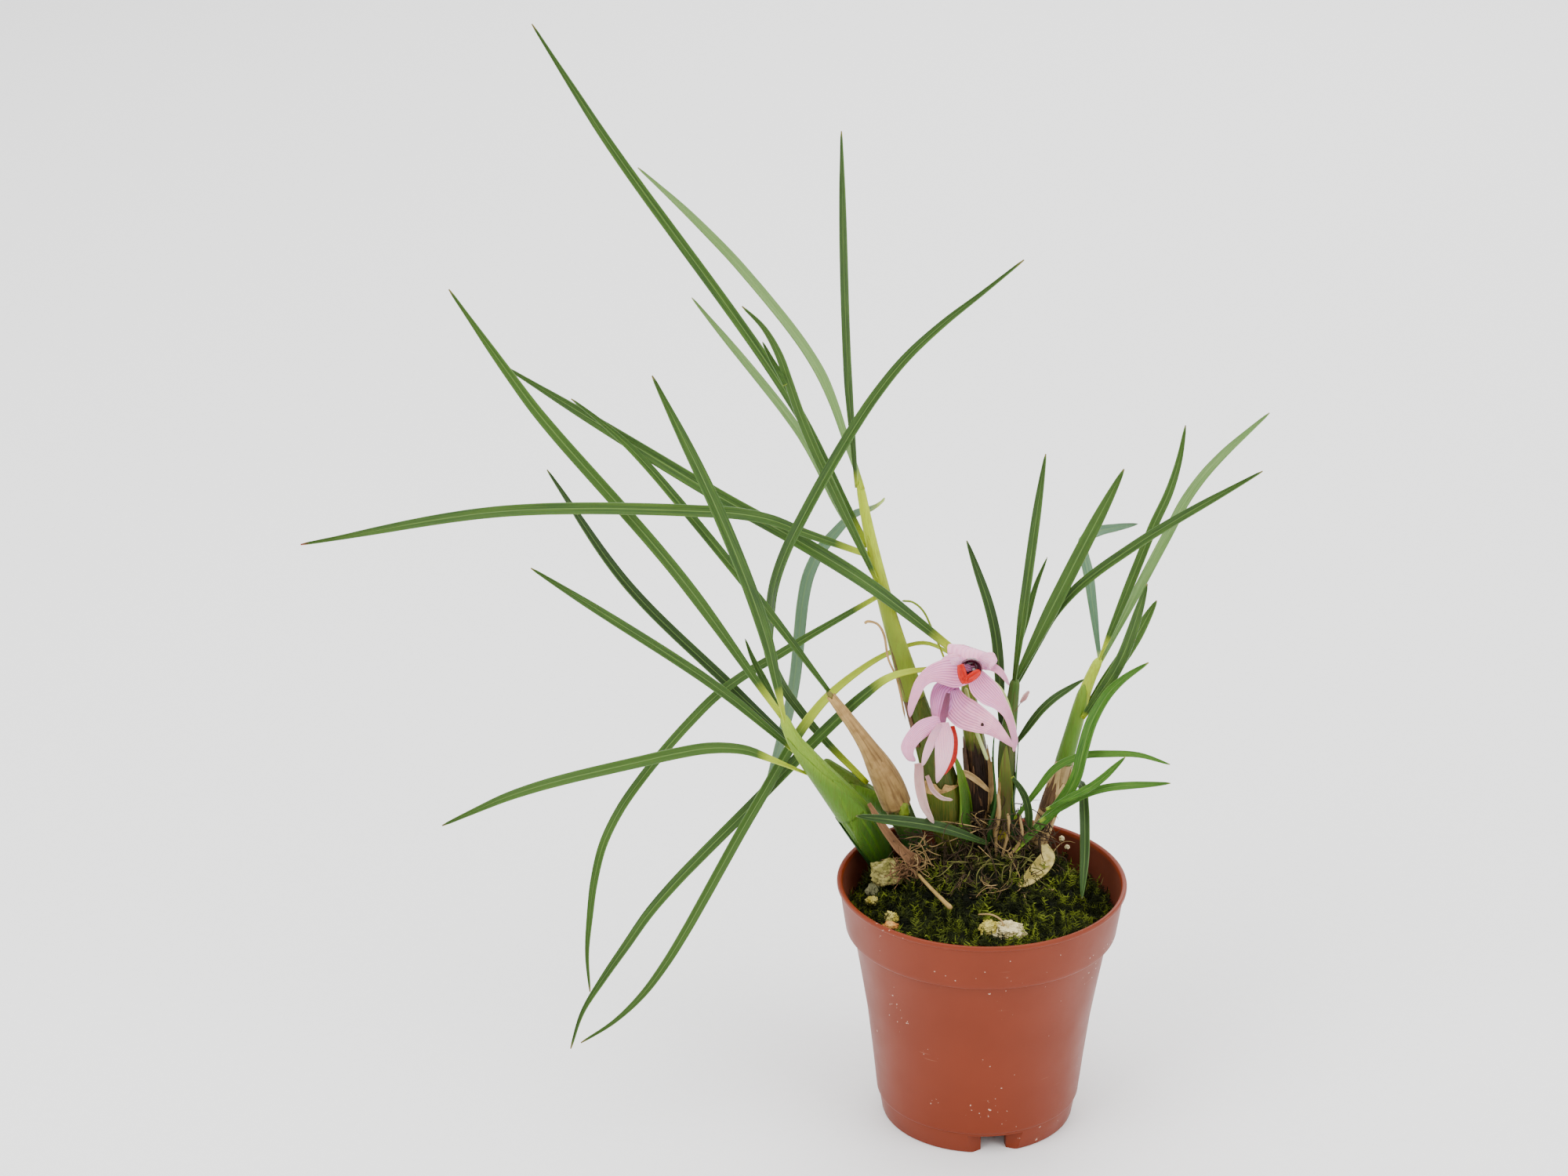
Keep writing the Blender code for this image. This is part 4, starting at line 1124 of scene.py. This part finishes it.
# Name, count, seed, centre, spread, shortest and longest, finish, thickness and droop.
FIBRES = [
    ("dark_root_clump", 170, 21, (1, 17, 88), (11, 7, 7), (7, 17), root_dark, 0.26),
    ("dark_roots_on_moss", 150, 31, (5, 8, 79), (15, 10, 3), (5, 13), root_dark, 0.26, 0.2),
    ("olive_roots", 110, 43, (3, 9, 82), (14, 8, 4), (6, 14), root_olive, 0.26, 0.5),
    ("tan_root_clump", 34, 22, (4, 15, 87), (9, 6, 8), (7, 16), root_tan, 0.24),
    ("tan_roots_on_moss", 40, 32, (6, 6, 79), (16, 12, 3), (4, 10), root_tan, 0.2, 0.2),
    ("brown_fibre_tuft", 120, 23, (-24.6, 4.6, 80.6), (3.6, 2, 1.6), (3, 7), paper_rust, 0.3, 0.1),
    ("tan_curled_fibres", 36, 41, (-19.5, 6, 85), (3, 2, 4), (4, 10), root_tan, 0.22, 0.5),
    ("wiry_roots_in_air", 26, 42, (15, 17, 92), (6, 4, 5), (5, 12), root_dark, 0.26, 0.4),
    ("bulb_foot_fibres", 90, 24, (-14, 13, 84), (9, 5, 5), (6, 13), root_dark, 0.24),
    ("right_foot_fibres", 60, 25, (15, 17, 84), (7, 6, 6), (6, 13), root_dark, 0.22),
]
for row in FIBRES:
    fibre_clump(*row)
print("roots and fibres made")

# %% [markdown]
# ## Flowers
#
# Two small flowers hang in front of the shoots: the upper one faces forwards, with an orange-red
# lip in a dark throat, and the lower one is seen from behind. Their sepals are thin, pale pink
# and lightly crumpled, with purple veins that fan out from the foot. Each is laid along its own
# short spine like a leaf, and cupped and waved more. The lip is a fleshy V with a small bowl.

# %% Petal materials


def petal_material(name, pale, flush, vein, flush_from=0.35):
    """A thin petal: light passes through it, and it is flushed and veined near its foot."""
    made, tree, place_on = start_material(
        name, roughness=0.5, ior=1.4, subsurface_weight=0.25, subsurface_scale=1.5 * MM,
        sheen_weight=0.1)
    across, along = (node(tree, "Attribute", {}, 2, attribute_name=key)
                     for key in ("across", "along"))
    strip = node(tree, "CombineXYZ", {0: across, 1: along})
    veins = node(tree, "TexWave", {"Vector": strip, "Scale": 1.7, "Distortion": 2.2,
                                   "Detail": 2.0, "Detail Scale": 1.2})
    cloud = node(tree, "TexNoise", {"Vector": place_on, "Scale": 350.0, "Detail": 3.0})
    vein_line = node(tree, "MapRange", {0: veins, 1: 0.70, 2: 1.0, 4: 0.75})
    fade = node(tree, "MapRange", {0: along, 1: 1.0, 2: 0.1})
    vein_mask = node(tree, "Math", {0: vein_line, 1: fade}, operation="MULTIPLY")
    paint(tree, pale, [
        (cloud, 0.4, 0.7, 0.35, flush), (along, flush_from + 0.25, 0.0, 0.85, flush),
        (vein_mask, vein)], veins, 0.12)
    return made


petal_pink = petal_material("pale_pink_petal", "#FAAAC8", "#DC86B4", "#8A3A7A")
petal_violet = petal_material("violet_flushed_petal", "#D486AE", "#9A4E90", "#541A4E", 0.6)
petal_shaded = petal_material("pink_petal_with_violet_foot", "#F4A4BC", "#A0588E", "#5A2054", 0.28)
petal_maroon = petal_material("maroon_petal_fold", "#8A4468", "#64283E", "#3A1030", 0.5)
petal_cream = petal_material("cream_pink_petal", "#FCBCCA", "#E69AB4", "#A45E86")
petal_smooth = petal_material("smooth_pink_petal", "#FAAECA", "#E08CB8", "#C878A8", 0.1)
petal_withered = petal_material("withered_petal", "#DEB4AC", "#C09090", "#8A5C5C")


def flecked_material(name, base, flecks, scale, **sockets):
    """Fleshy tissue with fine flecks of a brighter colour."""
    made, tree, place_on = start_material(name, **sockets)
    source = node(tree, "TexNoise", {"Vector": place_on, "Scale": scale})
    paint(tree, base, [(source, 0.4, 0.7, flecks)], source, 0.05)
    return made


lip_orange = flecked_material(
    "fleshy_orange_red_lip", "#A81000", "#C01C02", 900.0, roughness=0.45, coat_weight=0.05,
    subsurface_weight=0.1, subsurface_scale=1 * MM, specular_ior_level=0.3)
throat = flecked_material(
    "glossy_maroon_throat", "#3A1022", "#5C1A33", 600.0, roughness=0.2, coat_weight=0.5)

# %% Petals


def petal(name, points, facing, material, node_names=(), cup=0.12, wave=0.06, skin=0.22,
          slot="pink_petal"):
    """A petal along points of (x, y, z, width) in millimetres, with its face turned one way."""
    facing = Vector(facing).normalized()
    centres = [place(*point[:3]) for point in points]
    rows = []
    for i, point in enumerate(points):
        along = (centres[min(i + 1, len(points) - 1)] - centres[max(i - 1, 0)]).normalized()
        across = along.cross(facing).normalized() * point[3] * MM
        rows.append(np.array((*centres[i], *across)))

    def shape(u, v):
        round_off = math.sqrt(max(0.0, 1 - max(0.0, (v - 0.9) / 0.1) ** 2)) * 0.98 + 0.02
        return on_blade(rows, 0.5 + (u - 0.5) * round_off, v, cup, wave)

    piece = shaped_grid(name, 20, 44, shape, thickness=skin)
    finish_mesh(piece, material, node_names, slot)


FORWARD = (0, -1, 0.2)
# Name, finish, the node it stands for, the way it faces, its cup and wave, and its points.
PETALS = [
    ("upper_left_sepal", petal_pink, "upper_flower_left_sepal", FORWARD, -0.1, 0.04,
     [(-4.5, 8, 146.5, 6), (-8.5, 6.8, 147, 9.5), (-13, 5.6, 147.8, 8), (-17, 5, 147.2, 5.2),
      (-20, 4.6, 144.4, 3.6), (-21.6, 4.3, 140.4, 3.0), (-22.7, 4, 136.6, 2.2),
      (-23.1, 4, 133.2, 0.9)]),
    ("upper_right_sepal", petal_pink, "upper_flower_right_sepal", FORWARD, 0.1, 0.05,
     [(-3.5, 8.2, 146.5, 5), (-1.6, 7.4, 143.2, 7.6), (1.4, 7, 140.2, 7.4), (4.4, 6.6, 137.4, 4.6),
      (6.9, 6.2, 133.6, 2.8), (8.4, 5.8, 129, 2.2), (9.2, 5.4, 125, 1.8), (8.9, 5, 121.8, 0.8)]),
    ("upper_dorsal_hood", petal_smooth, "upper_flower_dorsal_sepal", (0, -0.9, 0.5), 0.05, 0.06,
     [(-4.5, 8.6, 148.5, 7), (-4.8, 10, 150.6, 13), (-4.6, 11.4, 152.2, 15),
      (-4.2, 13, 152.9, 10)]),
    ("upper_hood_right_fold", petal_smooth, None, (0.3, -0.8, 0.6), -0.2, 0.12,
     [(-2.6, 8.4, 149, 3), (-0.6, 8.2, 150.6, 5), (1.4, 7.6, 151.4, 5.2), (2.9, 7.2, 150.6, 3)]),
    ("upper_hood_left_fold", petal_smooth, None, (-0.2, -0.8, 0.6), -0.2, 0.1,
     [(-6.8, 8, 149.4, 3), (-9, 7.8, 150.8, 4.4), (-12, 7.6, 151.2, 3.2), (-14, 7.4, 150.6, 1.2)]),
    ("upper_narrow_petal", petal_pink, "upper_flower_petal", FORWARD, 0.1, 0.05,
     [(-0.6, 8.4, 149, 2.4), (1.6, 8.2, 149, 2.6), (3.8, 8, 147.8, 2.2), (5.6, 7.8, 145.6, 1.5),
      (7, 7.4, 143.2, 0.6)]),
    ("lower_violet_dome", petal_violet, "lower_flower_spur", (-0.5, -1, 0.3), -0.25, 0.05,
     [(-9.6, 9.6, 143.0, 6.5), (-12.8, 7.4, 141.2, 8.4), (-14.2, 5.6, 137.4, 8.0),
      (-14.6, 4.6, 133, 5), (-13.4, 4.2, 130.6, 3)]),
    ("lower_right_sepal", petal_shaded, "lower_flower_right_sepal", (0.1, -1, 0.3), -0.14, 0.05,
     [(-10.6, 7.4, 141, 5), (-9.4, 5.4, 137.6, 8.5), (-6.2, 4, 134.8, 9.6), (-2, 3, 133.2, 8),
      (2, 2, 131.6, 5.6), (5.6, 1, 128.8, 3.0), (9.0, 0, 125.6, 0.8)]),
    ("lower_maroon_fold", petal_maroon, None, (0.4, -1, 0.2), -0.3, 0.08,
     [(-11.4, 5.4, 141, 1.2), (-12, 4.0, 137.4, 2.2), (-12.6, 3.3, 134, 2.2),
      (-12.8, 3.0, 131.4, 1)]),
    ("lower_left_petal", petal_pink, "lower_flower_left_petal", FORWARD, -0.12, 0.05,
     [(-12.6, 3.6, 132.2, 3), (-15.4, 3, 131.6, 4.8), (-19, 2.6, 130, 5.4), (-22, 2.2, 127, 4.8),
      (-23.6, 2, 123.4, 4.2), (-22.8, 2.2, 120.4, 2.6), (-21.2, 2.6, 119, 1.2)]),
    ("lower_middle_sepal", petal_cream, "lower_flower_middle_sepal", FORWARD, -0.12, 0.05,
     [(-12.7, 3, 132.2, 3), (-12.4, 1.6, 128, 5.4), (-12.5, 0.6, 123, 5.4), (-13.2, 0.1, 118, 3.6),
      (-14.5, 0, 113, 0.8)]),
    ("lower_narrow_petal", petal_cream, None, FORWARD, -0.1, 0.05,
     [(-13.6, 2.6, 131.6, 2), (-15.8, 1.8, 127.6, 2.8), (-17.6, 1.4, 122.6, 2.4),
      (-19, 1.2, 118.2, 1.0)]),
    ("lower_lip_edge", lip_orange, "lower_flower_lip", (0.6, -1, 0), 0.3, 0.03,
     [(-10.6, 5, 130, 2), (-9.8, 4.8, 125, 2.8), (-10.4, 4.4, 119, 2.6),
      (-12.4, 4, 114, 1)], 0.5, "orange_lip"),
    ("withered_petal_long", petal_withered, "withered_bloom", FORWARD, 0.2, 0.1,
     [(-20.2, 3, 118.2, 2.6), (-19.8, 2.6, 111.6, 3), (-18.2, 2.4, 104, 2.6),
      (-15.2, 2.6, 97.8, 1)]),
    ("withered_petal_curl", petal_withered, None, FORWARD, 0.2, 0.1,
     [(-17.6, 3, 114, 1.2), (-15.6, 2.2, 109.6, 1.5), (-12.8, 2, 107, 1.3),
      (-9.4, 2.4, 106.2, 0.6)]),
]
for name, finish, stands_for, facing, cup, wave, points, *rest in PETALS:
    petal(name, points, facing, finish, [stands_for] if stands_for else (), cup, wave, *rest)
print(len(PETALS), "petals laid")

# %% Small leaves and dead strips
flake_finish = crumbly_material("dry_lichened_flake", "#B8A868", "#8C7E40", "#5C5026", 1.1)
# Name, finish, the way it faces, and its points of (x, y, z, width).
SMALL_LEAVES = [
    ("small_left_leaf", leaf_green, (0, -0.8, 0.6),
     [(-63.4, 4, 134.2, 1.6), (-67.4, 4, 143.4, 2.2), (-71.2, 4, 151.6, 1.4),
      (-73.6, 4, 158.2, 0.3)]),
    ("small_narrow_leaf", leaf_green, (0, -0.8, 0.6),
     [(10.0, 25, 150, 1.6), (12.1, 25.5, 158.6, 2.0), (14.7, 26, 169, 1.4),
      (17.8, 26, 178.2, 0.3)]),
    ("small_hooked_leaf", leaf_painted_shade, (0, -0.9, 0.4),
     [(8.7, 14, 109, 1.0), (11.6, 14, 104.7, 1.9), (13.3, 14, 100.9, 2.2), (14.2, 14, 95.8, 2.4),
      (14, 14, 90, 2.2)]),
    ("small_tip_leaf", leaf_green, (0, -0.8, 0.6),
     [(-61.0, -2.6, 243.0, 1.3), (-62.8, -2.2, 246.7, 1.6), (-65.1, -2, 250.8, 1.3),
      (-67.7, -2, 256.1, 0.4)]),
]
for name, finish, facing, points in SMALL_LEAVES:
    petal(name, points, facing, finish, (), LEAF_FOLD, 0.01, LEAF_SKIN, "leaf_blade")
# As for the small leaves, and then the cup, the wave, the thickness and the slot.
DEAD_STRIPS = [
    ("dry_pale_tongue", paper_pale, FORWARD,
     [(-8.2, 20.4, 107.4, 0.8), (-5.4, 20, 106.8, 1.9), (-2, 20, 104.4, 1.9),
      (2, 20, 100.6, 1.0)], 0.15, 0.06, 0.25, "dry_sheath"),
    ("brown_dead_leaf_base", paper_rust, FORWARD,
     [(-35.6, 9, 101, 1.2), (-32.6, 8.6, 96, 2.0), (-29.2, 8, 91, 2.6), (-25.4, 7.4, 86, 3.0),
      (-21.6, 6.6, 82.6, 2.2)], 0.25, 0.08, 0.3, "dry_sheath"),
    ("brown_dead_flap", paper_rust, (0.2, -1, 0.4),
     [(-25.6, 7.6, 87.6, 1.0), (-24.2, 7.0, 85.2, 3.0), (-22, 6.4, 83.2, 4.2),
      (-19.6, 6, 81.4, 3.6)], 0.3, 0.1, 0.3, "dry_sheath"),
    ("yellow_dry_flake", flake_finish, (0.1, -0.7, 0.8),
     [(19.2, 12.6, 86.4, 1.8), (20.4, 9.6, 84.0, 4.4), (18.6, 6, 82.0, 5.4),
      (15.0, 1.4, 80.4, 4.4), (11.6, -3, 79.4, 2.0)], 0.2, 0.1, 0.5, "bark"),
    ("dry_seed_bract", petal_withered, FORWARD,
     [(10.8, 15, 134, 0.6), (12, 15, 136, 1.5),
      (13.2, 15, 138, 0.7)], 0.2, 0.1, 0.3, "dry_sheath"),
]
for name, finish, facing, points, *rest in DEAD_STRIPS:
    petal(name, points, facing, finish, (), *rest)
strand("seed_hair", [(9.0, 15.5, 130.5, 0.12), (10, 15.2, 132.4, 0.12), (11, 15, 134.4, 0.12)],
       paper_brown)
lump("green_bud", (-24.8, 18.6, 94.2), (1.7, 1.4, 2.6), 0.1, sheath_yellow, 6.0, 3, "green_shoot")
lump("petal_fleck", (-0.9, 1.3, 132.6), (0.5, 0.3, 0.6), 0.05, sheath_black, 6.0, 3, "dry_sheath")
print("small leaves and strips laid")

# %% Lip and throat of the upper flower
bowl = add_shape(bpy.ops.mesh.primitive_uv_sphere_add, "upper_throat_bowl", segments=40,
                 ring_count=24, radius=1, location=(0, 0, 0), rotation=(math.radians(90), 0, 0))
bpy.ops.object.transform_apply(location=True, rotation=True, scale=True)
bpy.ops.object.mode_set(mode="EDIT")
bpy.ops.mesh.select_all(action="SELECT")
bpy.ops.mesh.bisect(plane_co=(0, -0.25, 0), plane_no=(0, -1, 0), clear_outer=True)
bpy.ops.object.mode_set(mode="OBJECT")
THROAT_CENTRE, THROAT_HALF = (-4.7, 6.2, 149.4), (3.1, 2.6, 2.7)
for vert in bowl.data.vertices:
    vert.co = place(*(c + h * w for c, h, w in zip(THROAT_CENTRE, THROAT_HALF, vert.co)))
wall = bowl.modifiers.new("wall", "SOLIDIFY")
wall.thickness = 0.35 * MM
wall.offset = 1
bpy.ops.object.modifier_apply(modifier=wall.name)
bpy.ops.object.shade_smooth()
finish_mesh(bowl, throat, ["upper_flower_lip_and_column"], "orange_lip")
for side, points in (("left", [(-8.0, 4.8, 151.0, 1.6), (-7.4, 4.2, 148.6, 2.4),
                               (-6.8, 3.8, 146.4, 2.2), (-6.2, 3.9, 145.4, 1.4)]),
                     ("right", [(-6.8, 3.9, 145.8, 1.6), (-5.2, 3.7, 147.0, 2.2),
                                (-3.4, 4, 148.2, 2.2), (-2.0, 4.6, 149.2, 1.2)])):
    petal(f"upper_lip_{side}_limb", points, FORWARD, lip_orange, (), 0.35, 0.03, 0.6, "orange_lip")
print("throat and lip made")

# %% Flower stalks
stalk_green = shoot_material("pale_green_flower_stalk", "#A9BF6A", [(0.5, 0.9, "#C3CF8A")],
                             "#8BA04A", 0.2)
for name in ("upper_flower_stalk", "lower_flower_stalk"):
    rows = stem_spine(name, 6)
    stalk = shaped_grid("slender_" + name, 12, 40, shoot_shape(rows, 5, 0.05), closed=True)
    finish_mesh(stalk, stalk_green, [name], "flower_stalk")
